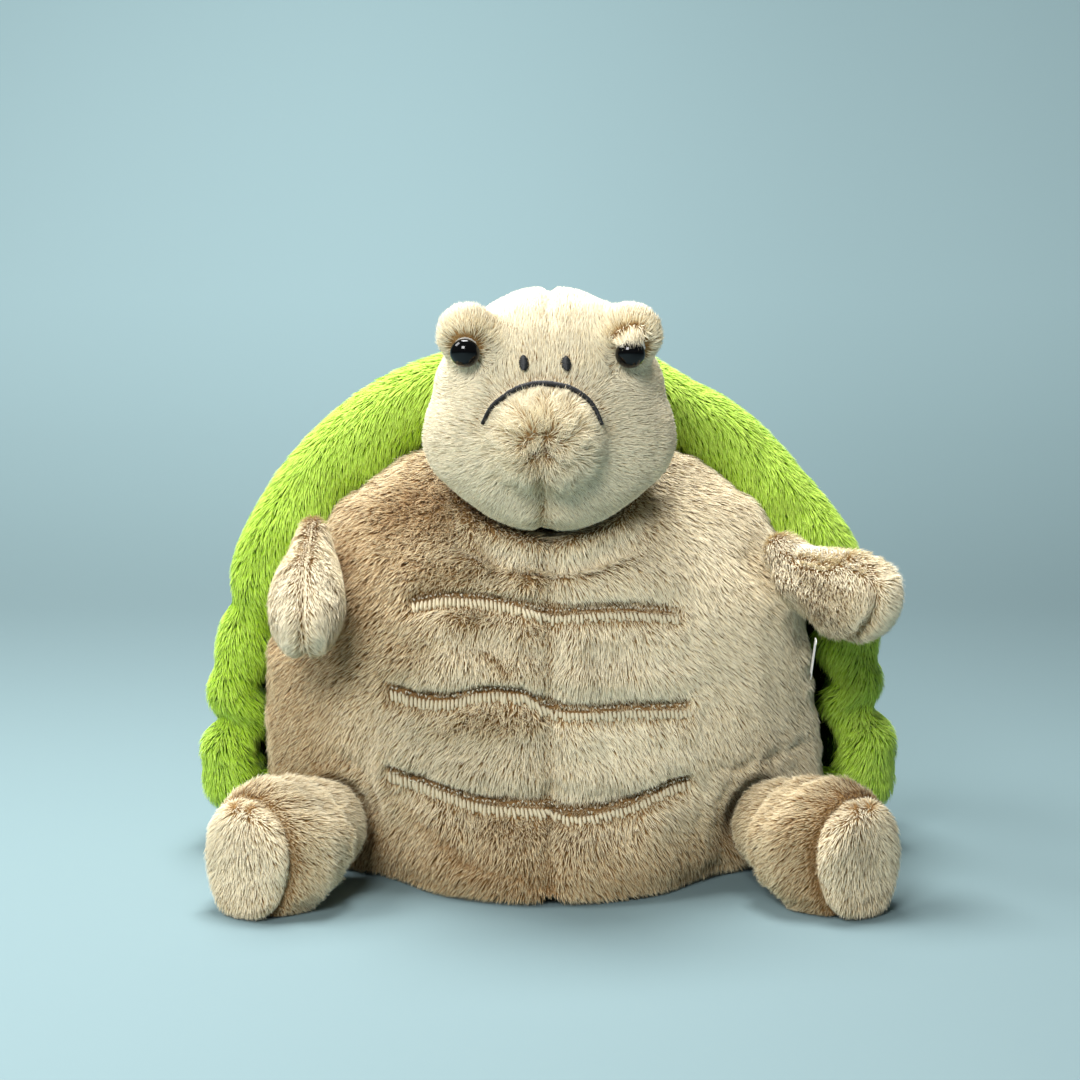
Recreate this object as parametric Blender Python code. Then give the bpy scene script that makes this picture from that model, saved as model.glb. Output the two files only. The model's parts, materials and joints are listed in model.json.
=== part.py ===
"""Plush turtle that sits upright: sewn plush skins over fibre stuffing, with a padded shell on its back.

All lengths are in metres. +X is the toy's own left, -Y is its front and +Z is up. The origin is on the
flat base that the toy sits on. Each sewn form is a closed surface that can be drawn at any depth below
the pile, so a skin, its stuffing and the seat that it is sewn into all come from the same sizes.
"""

import math

import bmesh
import bpy
from mathutils import Matrix, Vector

# Fabric and clearances
SKIN = 0.0035  # pile fabric with its backing
SEAM_GAP = 0.0003  # between sewn panels
FILL_GAP = 0.0005  # between a skin and its stuffing
REST_GAP = 0.0004  # between the body and the shell pieces that it lies against
SWING_GAP = 0.0006  # between a ball-shaped limb root and the seat that it turns in
OVERRUN = 0.004  # how far a cutter passes through what it cuts

# Body
BODY_HALF_WIDTH = 0.133
BODY_FRONT_DEPTH = 0.093
BODY_BACK_DEPTH = 0.058
WAIST_HEIGHT = 0.065  # where the body is widest
BODY_HEIGHT = 0.198
BODY_SAG = 0.1  # from the waist down to where the round belly would end without its flat base
UPPER_POWER_share = 2.25
LOWER_POWER_share = 3.0
BASE_PANEL_share = 0.88  # the base panel's size, as a share of the flat footprint
TUCK_DEPTH = 0.0035
TUCK_HALF_HEIGHT = 0.006
TUCK_HALF_WIDTH = 0.066
TUCK_HEIGHTS = (0.044, 0.087, 0.1275)
BODY_TOP_shares = (0.3, 0.55, 0.75, 0.9)  # rows of corners between the top tuck and the crown

# Head
HEAD_SEAT_RADIUS = 0.0545  # the round back of the head, which turns in the body's hollow
HEAD_HALF_WIDTH = 0.055
HEAD_FRONT_DEPTH = 0.044
HEAD_HALF_HEIGHT = 0.0545
HEAD_FORWARD = 0.066  # centre of the head in front of the body's middle
HEAD_RISE = 0.0115  # centre of the head above the top of the body
JOWL_share = 0.13  # how much wider the jowls are than the crown
SEAT_LEAN_DEG = 49.0  # how far below level the head's seat faces
SEAT_EDGE_share = 0.1  # where the egg starts to turn into the seat's ball
SEAT_BLEND_share = 0.38  # and how far the change reaches
MUZZLE_HALF_WIDTH = 0.0265
MUZZLE_HALF_HEIGHT = 0.025
MUZZLE_HALF_DEPTH = 0.025
MUZZLE_FORWARD = 0.033
MUZZLE_DROP = 0.009

# Eyes
MOUND_RADIUS = 0.0155
MOUND_OUT = 0.0345
MOUND_FORWARD = 0.024
MOUND_RISE = 0.033
EYE_RADIUS = 0.006
EYE_HEIGHT = 0.0042
EYE_SINK = 0.0015  # the eye's flat back below the mound's skin
EYE_DROP_DEG = 29.0
EYE_TURN_DEG = 4.0
SHANK_RADIUS = 0.0015
SHANK_LENGTH = 0.0055
WASHER_RADIUS = 0.005
WASHER_THICKNESS = 0.0014
WASHER_DEPTH = 0.0024  # from the eye's flat back to the washer
EYE_FIT = 0.0003

# Arms
ARM_ROOT_RADIUS = 0.0125
ARM_LENGTH = 0.069
ARM_HALF_HEIGHT = 0.023
ARM_HALF_WIDTH = 0.0183
ARM_SWELL = 0.04  # from the shoulder to where the arm is fullest
SHOULDER_HEIGHT = 0.14
SHOULDER_TURN_DEG = 33.0  # round from the side towards the front
SHOULDER_STANDOFF = 0.0112  # shoulder centre out from the body's skin
ARM_LEFT_HEADING_DEG = 50.0  # from straight out towards the front
ARM_LEFT_DROP_DEG = 14.0
ARM_RIGHT_HEADING_DEG = 90.0
ARM_RIGHT_DROP_DEG = 28.0
ARM_BACK_shares = (0.87, 0.5)  # rows of corners round the root ball, along the swell and round the tip
ARM_MIDDLE_shares = (0.0, 0.45, 1.0)
ARM_TIP_shares = (0.45, 0.78, 0.95)

# Legs
LEG_ROOT_RADIUS = 0.0235
LEG_END_RADIUS = 0.0265
LEG_LENGTH = 0.0575
LEG_CORNER = 0.011
LEG_GROUND_GAP = 0.0006
HIP_TURN_DEG = 44.0
HIP_STANDOFF = 0.014
LEG_HEADING_DEG = 52.0
SOLE_DEPTH = 0.0075
LEG_BACK_shares = (0.9, 0.5)  # rows of corners round the root ball, along the tube and round the sole
LEG_MIDDLE_shares = (0.0, 0.45, 1.0)
LEG_CORNER_shares = (0.7, 0.4, 0.12)

# Shell
SHELL_MARGIN = 0.029  # how far the shell reaches past the body's side
SHELL_CREST = 0.0375  # and above its top
SHELL_GROUND_GAP = 0.005
SHELL_MIDDLE = 0.038  # where the shell's outline is widest
SHELL_POLE_HEIGHT = 0.085  # of the dome's furthest place at the back
SHELL_START = 0.012  # behind the body's middle, where the dome meets its rim
SHELL_BACK_PAD = 0.048  # thickness from the body's back to the dome's outside
RIM_WIDTH = 0.029
RIM_DEPTH = 0.022
LINING = 0.004
RIM_PAD = 0.015  # stuffing beside the dome's edge
ARCH_UPPER_POWER_share = 2.2
ARCH_LOWER_POWER_share = 4.0
DOME_POWER_share = 2.3

# Facet counts
BODY_SIDES = 28
HEAD_SIDES = 24
HEAD_ROWS = 12
ARM_SIDES = 12
LEG_SIDES = 16
SHELL_SIDES = 32
SHELL_ROWS = 6
SEAT_SIDES = 24
EYE_SIDES = 12
MOUND_SIDES = 12
MUZZLE_SIDES = 18
LIMB_SEAT_SIDES = 20
EYE_ROWS = 5
RIM_CORNERS = 7

BIG = 4 * (BODY_HALF_WIDTH + SHELL_MARGIN)  # blocks that cut away one side of a form

# Shared modelling steps


def finish(name, colour, roughness, metallic=0.0):
    """A plain Principled material in a colour given as linear red, green and blue."""
    material = bpy.data.materials.new(name)
    material.use_nodes = True
    shader = material.node_tree.nodes["Principled BSDF"]
    shader.inputs["Base Color"].default_value = (*colour, 1.0)
    shader.inputs["Roughness"].default_value = roughness
    shader.inputs["Metallic"].default_value = metallic
    material.diffuse_color = (*colour, 1.0)
    return material


def placed(name, mesh):
    """Turns an edit mesh into a smooth-shaded object of the scene."""
    bmesh.ops.recalc_face_normals(mesh, faces=mesh.faces)
    data = bpy.data.meshes.new(name)
    mesh.to_mesh(data)
    mesh.free()
    data.shade_smooth()
    made = bpy.data.objects.new(name, data)
    bpy.context.collection.objects.link(made)
    return made


def solid(name, rings, start=None, end=None):
    """A closed skin over a stack of rings, with a pole at each end or a flat face where none is given."""
    mesh = bmesh.new()
    loops = [[mesh.verts.new(point) for point in ring] for ring in rings]
    for below, above in zip(loops, loops[1:]):
        for i, corner in enumerate(below):
            j = (i + 1) % len(below)
            mesh.faces.new((corner, below[j], above[j], above[i]))
    for loop, pole in ((loops[0], start), (loops[-1], end)):
        if pole is None:
            mesh.faces.new(loop)
            continue
        tip = mesh.verts.new(pole)
        for i, corner in enumerate(loop):
            mesh.faces.new((corner, loop[(i + 1) % len(loop)], tip))
    # The same diagonals at every depth keep a skin's inside parallel to its stuffing.
    bmesh.ops.triangulate(mesh, faces=mesh.faces, quad_method="FIXED")
    return placed(name, mesh)


def as_guide(made):
    """Marks a cutter, which is no piece of the toy."""
    made.hide_render = True
    made.display_type = "WIRE"
    return made


def cut(target, *cutters):
    for cutter in cutters:
        step = target.modifiers.new("cut by " + cutter.name, "BOOLEAN")
        step.operation = "DIFFERENCE"
        step.object = cutter
        as_guide(cutter)
    return target


def signed_power(value, power):
    """Cosine or sine of a rounded outline: 2 gives an ellipse and more gives fuller corners."""
    return math.copysign(abs(value) ** (2 / power), value)


def half_space(name, point, facing):
    """A large block that fills one side of the plane through a point, on the side it faces."""
    corner = BIG / 2
    square = [(-corner, -corner), (corner, -corner), (corner, corner), (-corner, corner)]
    turn = Vector(facing).to_track_quat("Z", "Y")
    rings = [
        [Vector(point) + turn @ Vector((x, y, height)) for x, y in square] for height in (0.0, BIG)
    ]
    return solid(name, rings)


def ball(name, centre, radii, sides=SEAT_SIDES):
    """An ellipsoid whose poles lie on the vertical."""
    rows = sides // 2
    rings = []
    for row in range(1, rows):
        lift = math.pi * (row / rows - 0.5)
        ring = []
        for side in range(sides):
            turn = 2 * math.pi * (side + 0.5) / sides
            out = (math.cos(lift) * math.cos(turn), math.cos(lift) * math.sin(turn), math.sin(lift))
            ring.append(Vector(centre) + Vector([a * b for a, b in zip(out, radii)]))
        rings.append(ring)
    up = Vector((0, 0, radii[2]))
    return solid(name, rings, Vector(centre) - up, Vector(centre) + up)


def turned(name, origin, axis, profile, sides=EYE_SIDES):
    """A turned piece: its profile is a list of radius and height along the axis, closed at each end."""
    turn = Vector(axis).to_track_quat("Z", "Y")
    rings = []
    for radius, height in profile:
        ring = []
        for side in range(sides):
            angle = 2 * math.pi * side / sides
            spot = Vector((radius * math.cos(angle), radius * math.sin(angle), height))
            ring.append(Vector(origin) + turn @ spot)
        rings.append(ring)
    return solid(name, rings)


def pivot(name, place):
    """An empty on a joint's centre, which carries the pieces that turn there."""
    empty = bpy.data.objects.new(name, None)
    empty.location = place
    empty.empty_display_size = EYE_RADIUS
    bpy.context.collection.objects.link(empty)
    return empty


def hang(empty, *pieces):
    for piece in pieces:
        piece.parent = empty
        piece.matrix_parent_inverse = Matrix.Translation(empty.location).inverted()


# Body


def tuck_shift(height, across):
    """How far the belly is drawn in by its three stitched tucks."""
    fade = max(0.0, 1 - (across / TUCK_HALF_WIDTH) ** 4)
    shift = 0.0
    for tuck in TUCK_HEIGHTS:
        shift += max(0.0, 1 - abs(height - tuck) / TUCK_HALF_HEIGHT)
    return TUCK_DEPTH * fade * min(shift, 1.0)


def body_fullness(height, inset):
    """Size of the body's outline at a height, as a share of its outline at the waist."""
    if height > WAIST_HEIGHT:
        reach, power = BODY_HEIGHT - WAIST_HEIGHT, UPPER_POWER_share
    else:
        reach, power = BODY_SAG, LOWER_POWER_share
    level = min(abs(height - WAIST_HEIGHT) / (reach - inset), 1.0)
    return (1 - level**power) ** (1 / power)


def body_point(angle, height, inset=0.0):
    """A place on the body's skin, or below it by the inset."""
    fullness = body_fullness(height, inset)
    across = (BODY_HALF_WIDTH - inset) * fullness * math.cos(angle)
    if math.sin(angle) > 0:
        return Vector((across, (BODY_BACK_DEPTH - inset) * fullness * math.sin(angle), height))
    along = (BODY_FRONT_DEPTH - inset) * fullness * math.sin(angle)
    return Vector((across, along + tuck_shift(height, across), height))


def body_out(angle, height):
    """The way the body's skin faces at a place."""
    step = SEAM_GAP
    place = body_point(angle, height)
    sideways = body_point(angle + step / BODY_HALF_WIDTH, height) - place
    upward = body_point(angle, height + step) - place
    return sideways.cross(upward).normalized()


def body_levels(floor):
    """Heights of the body's rows of corners: closer at the tucks, and even round the shoulders."""
    levels = [floor, floor + (TUCK_HEIGHTS[0] - TUCK_HALF_HEIGHT - floor) / 3]
    levels.append(floor + (TUCK_HEIGHTS[0] - TUCK_HALF_HEIGHT - floor) * 2 / 3)
    for tuck in TUCK_HEIGHTS:
        levels += [tuck - TUCK_HALF_HEIGHT, tuck, tuck + TUCK_HALF_HEIGHT]
    levels.append((TUCK_HEIGHTS[0] + TUCK_HEIGHTS[1]) / 2)
    rise = BODY_HEIGHT - WAIST_HEIGHT
    top_tuck = math.asin((TUCK_HEIGHTS[-1] + TUCK_HALF_HEIGHT - WAIST_HEIGHT) / rise)
    for share in BODY_TOP_shares:
        lift = top_tuck + (math.pi / 2 - top_tuck) * share
        levels.append(WAIST_HEIGHT + rise * math.sin(lift))
    return sorted(levels)


def body_form(name, inset):
    """The body at a depth below its skin, with its flat base raised by as much."""
    floor = inset if inset >= 0 else -OVERRUN
    top = BODY_HEIGHT - inset
    turns = [2 * math.pi * (side + 0.5) / BODY_SIDES for side in range(BODY_SIDES)]
    levels = [level for level in body_levels(max(floor, 0.0)) if level < top - SKIN]
    if floor < 0:
        levels.insert(0, floor)
    rings = [[body_point(turn, level, inset) for turn in turns] for level in levels]
    return solid(name, rings, None, Vector((0, 0, top)))


def base_disc(name, shrink, low, high):
    """A flat oval inside the body's footprint."""
    outline = []
    for side in range(BODY_SIDES):
        spot = body_point(2 * math.pi * (side + 0.5) / BODY_SIDES, 0.0) * BASE_PANEL_share
        outline.append(spot - spot.normalized() * shrink)
    rings = [[Vector((spot.x, spot.y, height)) for spot in outline] for height in (low, high)]
    return solid(name, rings)


# Head


def head_centre():
    return Vector((0, -HEAD_FORWARD, BODY_HEIGHT + HEAD_RISE))


def head_radius(way, inset=0.0):
    """Distance from the head's centre to its skin: an egg with jowls, and a true ball where it is seated."""
    wide = HEAD_HALF_WIDTH * (1 - JOWL_share * way.z)
    deep = HEAD_FRONT_DEPTH if way.y < 0 else HEAD_SEAT_RADIUS
    egg = Vector((way.x / wide, way.y / deep, way.z / HEAD_HALF_HEIGHT)).length
    lean = math.radians(SEAT_LEAN_DEG)
    facing = way.dot(Vector((0, math.cos(lean), -math.sin(lean))))
    seated = min(max((facing - SEAT_EDGE_share) / SEAT_BLEND_share, 0.0), 1.0)
    seated = seated * seated * (3 - 2 * seated)
    return (1 / egg) * (1 - seated) + HEAD_SEAT_RADIUS * seated - inset


def head_form(name, inset):
    centre = head_centre()
    rings = []
    for row in range(1, HEAD_ROWS):
        lift = math.pi * (row / HEAD_ROWS - 0.5)
        ring = []
        for side in range(HEAD_SIDES):
            turn = 2 * math.pi * (side + 0.5) / HEAD_SIDES
            way = Vector(
                (math.cos(lift) * math.cos(turn), math.cos(lift) * math.sin(turn), math.sin(lift))
            )
            ring.append(centre + way * head_radius(way, inset))
        rings.append(ring)
    up = Vector((0, 0, 1))
    bottom = centre - up * head_radius(-up, inset)
    return solid(name, rings, bottom, centre + up * head_radius(up, inset))


def mound_centre(side):
    out = Vector((side * MOUND_OUT, -MOUND_FORWARD, MOUND_RISE))
    return head_centre() + out


def eye_axis(side):
    drop, turn = math.radians(EYE_DROP_DEG), math.radians(EYE_TURN_DEG)
    level = Vector((side * math.sin(turn), -math.cos(turn), 0))
    return level * math.cos(drop) - Vector((0, 0, math.sin(drop)))


def eye_seat(side):
    """The middle of the eye's flat back."""
    level = math.sqrt(MOUND_RADIUS**2 - EYE_RADIUS**2) - EYE_SINK
    return mound_centre(side) + eye_axis(side) * level


def eye(name, side):
    """A moulded safety eye: a dome on a flat back, with a ridged shank."""
    profile = [(SHANK_RADIUS * 0.6, -SHANK_LENGTH), (SHANK_RADIUS, -SHANK_LENGTH + SHANK_RADIUS)]
    profile += [(SHANK_RADIUS, 0.0), (EYE_RADIUS, 0.0)]
    for row in range(1, EYE_ROWS):
        lift = math.pi / 2 * row / EYE_ROWS
        profile.append((EYE_RADIUS * math.cos(lift), EYE_HEIGHT * math.sin(lift)))
    return turned(name, eye_seat(side), eye_axis(side), profile)


def eye_hollow(name, side):
    """The seat, shank hole and washer pocket in the mound, in one turned cutter."""
    hole = SHANK_RADIUS + EYE_FIT
    pocket = WASHER_RADIUS + EYE_FIT
    pocket_top = -WASHER_DEPTH + EYE_FIT
    pocket_end = -WASHER_DEPTH - WASHER_THICKNESS - EYE_FIT
    profile = [
        (hole, -SHANK_LENGTH - EYE_FIT),
        (hole, pocket_end),
        (pocket, pocket_end),
        (pocket, pocket_top),
        (hole, pocket_top),
        (hole, -EYE_FIT),
        (EYE_RADIUS + EYE_FIT, -EYE_FIT),
        (EYE_RADIUS + EYE_FIT, MOUND_RADIUS),
    ]
    return turned(name, eye_seat(side), eye_axis(side), profile)


def washer(name, side):
    """The lock washer pressed onto the shank inside the mound."""
    ring = [(WASHER_RADIUS, -WASHER_DEPTH), (WASHER_RADIUS, -WASHER_DEPTH - WASHER_THICKNESS)]
    disc = turned(name, eye_seat(side), eye_axis(side), ring)
    hole = SHANK_RADIUS + EYE_FIT
    bore = [(hole, OVERRUN - WASHER_DEPTH), (hole, -WASHER_DEPTH - WASHER_THICKNESS - OVERRUN)]
    return cut(disc, turned(name + " bore", eye_seat(side), eye_axis(side), bore))


# Limbs


def limb_frame(heading_deg, drop_deg, side):
    """The way a limb points, the level axis it swings on, and the way across both."""
    heading, drop = math.radians(heading_deg), math.radians(drop_deg)
    level = Vector((side * math.cos(heading), -math.sin(heading), 0))
    along = level * math.cos(drop) - Vector((0, 0, math.sin(drop)))
    hinge = Vector((level.y, -level.x, 0))
    return along, hinge, hinge.cross(along)


def socket(turn_deg, height, standoff, side):
    """A ball centre out from the body's skin, at an angle round from the side to the front."""
    angle = -math.radians(turn_deg)
    spot = body_point(angle, height) + body_out(angle, height) * standoff
    return Vector((side * spot.x, spot.y, spot.z))


def shoulder(side):
    return socket(SHOULDER_TURN_DEG, SHOULDER_HEIGHT, SHOULDER_STANDOFF, side)


def hip(side):
    height = LEG_ROOT_RADIUS + LEG_GROUND_GAP
    spot = socket(HIP_TURN_DEG, height, HIP_STANDOFF, side)
    return Vector((spot.x, spot.y, LEG_END_RADIUS + LEG_GROUND_GAP))


def arm_reaches():
    """Places along the arm: round its root ball, through the swell and round the tip."""
    back = [-ARM_ROOT_RADIUS * share for share in ARM_BACK_shares]
    middle = [ARM_SWELL * share for share in ARM_MIDDLE_shares]
    tip = [ARM_SWELL + (ARM_LENGTH - ARM_SWELL) * share for share in ARM_TIP_shares]
    return back + middle + tip


def arm_fullness(reach, half_size):
    """Half size of the arm at a place along it."""
    if reach <= 0:
        return math.sqrt(ARM_ROOT_RADIUS**2 - reach**2)
    swell = min(reach / ARM_SWELL, 1.0)
    swell = swell * swell * (3 - 2 * swell)
    size = ARM_ROOT_RADIUS + (half_size - ARM_ROOT_RADIUS) * swell
    if reach > ARM_SWELL:
        size *= math.sqrt(1 - ((reach - ARM_SWELL) / (ARM_LENGTH - ARM_SWELL)) ** 2)
    return size


def leg_reaches():
    back = [-LEG_ROOT_RADIUS * share for share in LEG_BACK_shares]
    middle = [(LEG_LENGTH - LEG_CORNER) * share for share in LEG_MIDDLE_shares]
    return back + middle + [LEG_LENGTH - LEG_CORNER * share for share in LEG_CORNER_shares]


def leg_fullness(reach, half_size):
    """Half size of the leg at a place along it: a ball at the root and a soft corner at the sole."""
    if reach <= 0:
        return math.sqrt(LEG_ROOT_RADIUS**2 - reach**2)
    straight = LEG_LENGTH - LEG_CORNER
    size = LEG_ROOT_RADIUS + (half_size - LEG_ROOT_RADIUS) * min(reach / straight, 1.0)
    if reach > straight:
        size -= LEG_CORNER * (1 - math.sqrt(1 - ((reach - straight) / LEG_CORNER) ** 2))
    return size


def limb_form(name, root, frame, reaches, fullness, sizes, length, back, inset, sides):
    """A limb at a depth below its skin, from its round root to its tip."""
    along, hinge, across = frame
    shrink = (length - inset) / length
    rings = []
    for reach in reaches:
        ring = []
        for side in range(sides):
            turn = 2 * math.pi * (side + 0.5) / sides
            wide = (fullness(reach, sizes[0]) * (1 - inset / sizes[0])) * math.cos(turn)
            tall = (fullness(reach, sizes[1]) * (1 - inset / sizes[1])) * math.sin(turn)
            ring.append(root + along * reach * shrink + hinge * wide + across * tall)
        rings.append(ring)
    return solid(name, rings, root - along * (back - inset), root + along * (length - inset))


def arm_form(name, side, frame, inset):
    sizes = (ARM_HALF_WIDTH, ARM_HALF_HEIGHT)
    return limb_form(
        name, shoulder(side), frame, arm_reaches(), arm_fullness, sizes, ARM_LENGTH,
        ARM_ROOT_RADIUS, inset, ARM_SIDES,
    )


def leg_form(name, side, frame, inset):
    sizes = (LEG_END_RADIUS, LEG_END_RADIUS)
    return limb_form(
        name, hip(side), frame, leg_reaches(), leg_fullness, sizes, LEG_LENGTH,
        LEG_ROOT_RADIUS, inset, LEG_SIDES,
    )


def arm(label, side, frame, fabric, fibre):
    """Two sewn panels that meet on the arm's upright plane, round one stuffing."""
    along, hinge, across = frame
    root = shoulder(side)
    pieces = []
    for panel, facing in (("inner", -side), ("outer", side)):
        outward = hinge if hinge.x * facing > 0 else -hinge
        name = f"arm_{label}_{panel}_panel"
        made = arm_form(name, side, frame, 0.0)
        cut(
            made,
            arm_form(name + " hollow", side, frame, SKIN),
            half_space(name + " seam", root + outward * SEAM_GAP / 2, -outward),
        )
        made.data.materials.append(fabric)
        pieces.append(made)
    core = arm_form(f"arm_{label}_stuffing", side, frame, SKIN + FILL_GAP)
    core.data.materials.append(fibre)
    joint = pivot(f"shoulder_{label}", root)
    hang(joint, core, *pieces)


def leg(label, side, frame, fabric, fibre):
    """A sewn tube with a round sole, over its stuffing."""
    along = frame[0]
    root = hip(side)
    seam = LEG_LENGTH - SOLE_DEPTH
    tube = leg_form(f"leg_{label}_tube", side, frame, 0.0)
    cut(
        tube,
        leg_form(f"leg_{label} hollow", side, frame, SKIN),
        half_space(f"leg_{label} open end", root + along * seam, along),
    )
    sole = leg_form(f"leg_{label}_sole", side, frame, 0.0)
    cut(sole, half_space(f"leg_{label} sole back", root + along * (seam + SEAM_GAP), -along))
    core = leg_form(f"leg_{label}_stuffing", side, frame, SKIN + FILL_GAP)
    cut(core, half_space(f"leg_{label} fill end", root + along * seam, along))
    for made in (tube, sole):
        made.data.materials.append(fabric)
    core.data.materials.append(fibre)
    hang(pivot(f"hip_{label}", root), tube, sole, core)


# Shell


def arch_point(turn, inset):
    """A place on the shell's outline as seen from the front, drawn in by an inset."""
    wide = BODY_HALF_WIDTH + SHELL_MARGIN - inset
    power = ARCH_UPPER_POWER_share if math.sin(turn) > 0 else ARCH_LOWER_POWER_share
    top = BODY_HEIGHT + SHELL_CREST - SHELL_MIDDLE - inset
    foot = SHELL_MIDDLE - SHELL_GROUND_GAP - inset
    tall = top if math.sin(turn) > 0 else foot
    across = wide * signed_power(math.cos(turn), power)
    rise = tall * signed_power(math.sin(turn), power)
    return Vector((across, 0, SHELL_MIDDLE + rise))


def arch_turns():
    """Angles round the arch, spread so that the corners lie at even steps."""
    return [2 * math.pi * (side + 0.5) / SHELL_SIDES for side in range(SHELL_SIDES)]


def dome_rings(inset, depth, start):
    """Rings from the dome's front edge back to just before its pole."""
    rings = []
    for row in range(SHELL_ROWS):
        lift = math.pi / 2 * row / SHELL_ROWS
        fullness = signed_power(math.cos(lift), DOME_POWER_share)
        back = start + (depth - start) * signed_power(math.sin(lift), DOME_POWER_share)
        pole = Vector((0, back, SHELL_POLE_HEIGHT))
        ring = [arch_point(turn, inset) for turn in arch_turns()]
        rings.append([pole + Vector((spot.x, 0, spot.z - pole.z)) * fullness for spot in ring])
    return rings


def bowl(name, outer, outer_depth, inner, inner_depth):
    """An open bowl between two domes: outside from pole to edge, then inside from edge to pole."""
    outside = dome_rings(outer, outer_depth, SHELL_START)
    inside = dome_rings(inner, inner_depth, SHELL_START)
    poles = [Vector((0, depth, SHELL_POLE_HEIGHT)) for depth in (outer_depth, inner_depth)]
    return solid(name, outside[::-1] + inside, poles[0], poles[1])


def rim(name):
    """The puffed band round the shell's edge, flat at its back where the dome and lining meet it."""
    sections = []
    for turn in arch_turns():
        outer, inner = arch_point(turn, 0.0), arch_point(turn, RIM_WIDTH)
        middle, half = (outer + inner) / 2, (outer - inner) / 2
        section = []
        for corner in range(RIM_CORNERS):
            swing = math.pi * corner / (RIM_CORNERS - 1)
            forward = -RIM_DEPTH * signed_power(math.sin(swing), DOME_POWER_share)
            section.append(
                middle + half * signed_power(math.cos(swing), DOME_POWER_share)
                + Vector((0, SHELL_START - SEAM_GAP + forward, 0))
            )
        sections.append(section)
    mesh = bmesh.new()
    loops = [[mesh.verts.new(point) for point in section] for section in sections]
    for i, loop in enumerate(loops):
        following = loops[(i + 1) % len(loops)]
        for j, corner in enumerate(loop):
            k = (j + 1) % len(loop)
            mesh.faces.new((corner, loop[k], following[k], following[j]))
    return placed(name, mesh)


# Assembly


def build_body(fabric, fibre, seats):
    """Two belly panels, a back panel and a flat base, sewn round the stuffing."""
    hollow = body_form("body hollow", SKIN)
    base_hole = base_disc("base hole", 0.0, -OVERRUN, SKIN + OVERRUN)
    behind = half_space("behind the belly", (0, 0, 0), (0, 1, 0))
    for label, side in (("left", 1), ("right", -1)):
        belly = body_form(f"belly_panel_{label}", 0.0)
        seam = half_space(f"belly seam {label}", (side * SEAM_GAP / 2, 0, 0), (-side, 0, 0))
        cut(belly, hollow, behind, seam, base_hole, seats["head"])
        cut(belly, seats["shoulder_" + label], seats["hip_" + label])
        belly.data.materials.append(fabric)
    back = body_form("back_panel", 0.0)
    cut(back, hollow, half_space("before the back", (0, SEAM_GAP, 0), (0, -1, 0)), base_hole, seats["head"])
    back.data.materials.append(fabric)
    base = base_disc("base_panel", SEAM_GAP, 0.0, SKIN)
    base.data.materials.append(fabric)
    core = body_form("body_stuffing", SKIN + FILL_GAP)
    cut(core, *seats.values())
    core.data.materials.append(fibre)


def build_head(fabric, fibre, gloss, nylon):
    """Two head panels, a muzzle and two eye mounds, with safety eyes locked by washers."""
    pieces = []
    hollow = head_form("head hollow", SKIN)
    for name, side in (("head_panel_left", 1), ("head_panel_right", -1)):
        made = head_form(name, 0.0)
        seam = half_space(name + " seam", (side * SEAM_GAP / 2, 0, 0), (-side, 0, 0))
        cut(made, seam, hollow)
        made.data.materials.append(fabric)
        pieces.append(made)
    core = head_form("head_stuffing", SKIN + FILL_GAP)
    core.data.materials.append(fibre)
    pieces.append(core)
    near = head_form("head near", -SEAM_GAP)
    muzzle_centre = head_centre() - Vector((0, MUZZLE_FORWARD, MUZZLE_DROP))
    muzzle_size = (MUZZLE_HALF_WIDTH, MUZZLE_HALF_DEPTH, MUZZLE_HALF_HEIGHT)
    muzzle = ball("muzzle", muzzle_centre, muzzle_size, MUZZLE_SIDES)
    cut(muzzle, near)
    muzzle.data.materials.append(fabric)
    pieces.append(muzzle)
    for label, side in (("left", 1), ("right", -1)):
        mound = ball(f"eye_mound_{label}", mound_centre(side), (MOUND_RADIUS,) * 3, MOUND_SIDES)
        cut(mound, near, eye_hollow(f"eye_{label} hollow", side))
        mound.data.materials.append(fabric)
        bead = eye(f"eye_{label}", side)
        bead.data.materials.append(gloss)
        lock = washer(f"eye_washer_{label}", side)
        lock.data.materials.append(nylon)
        pieces += [mound, bead, lock]
    hang(pivot("neck", head_centre()), *pieces)


def build_shell(pile, lining_cloth, fibre):
    """The padded shell: an outer cover, its stuffing, a lining and the puffed rim."""
    back = BODY_BACK_DEPTH + SHELL_BACK_PAD
    pad_in = SKIN + RIM_PAD
    lining_depth = BODY_BACK_DEPTH + 2 * LINING
    near = body_form("body near", -REST_GAP)
    cover = bowl("shell_cover", 0.0, back, SKIN, back - SKIN)
    cut(cover, near)
    cover.data.materials.append(pile)
    core = bowl(
        "shell_stuffing", SKIN + SEAM_GAP, back - SKIN - SEAM_GAP, pad_in, lining_depth + SEAM_GAP
    )
    cut(core, near)
    core.data.materials.append(fibre)
    lining = bowl(
        "shell_lining", pad_in + SEAM_GAP, lining_depth, pad_in + LINING, lining_depth - LINING
    )
    cut(lining, near)
    lining.data.materials.append(lining_cloth)
    band = rim("shell_rim")
    cut(band, near)
    band.data.materials.append(pile)


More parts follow.
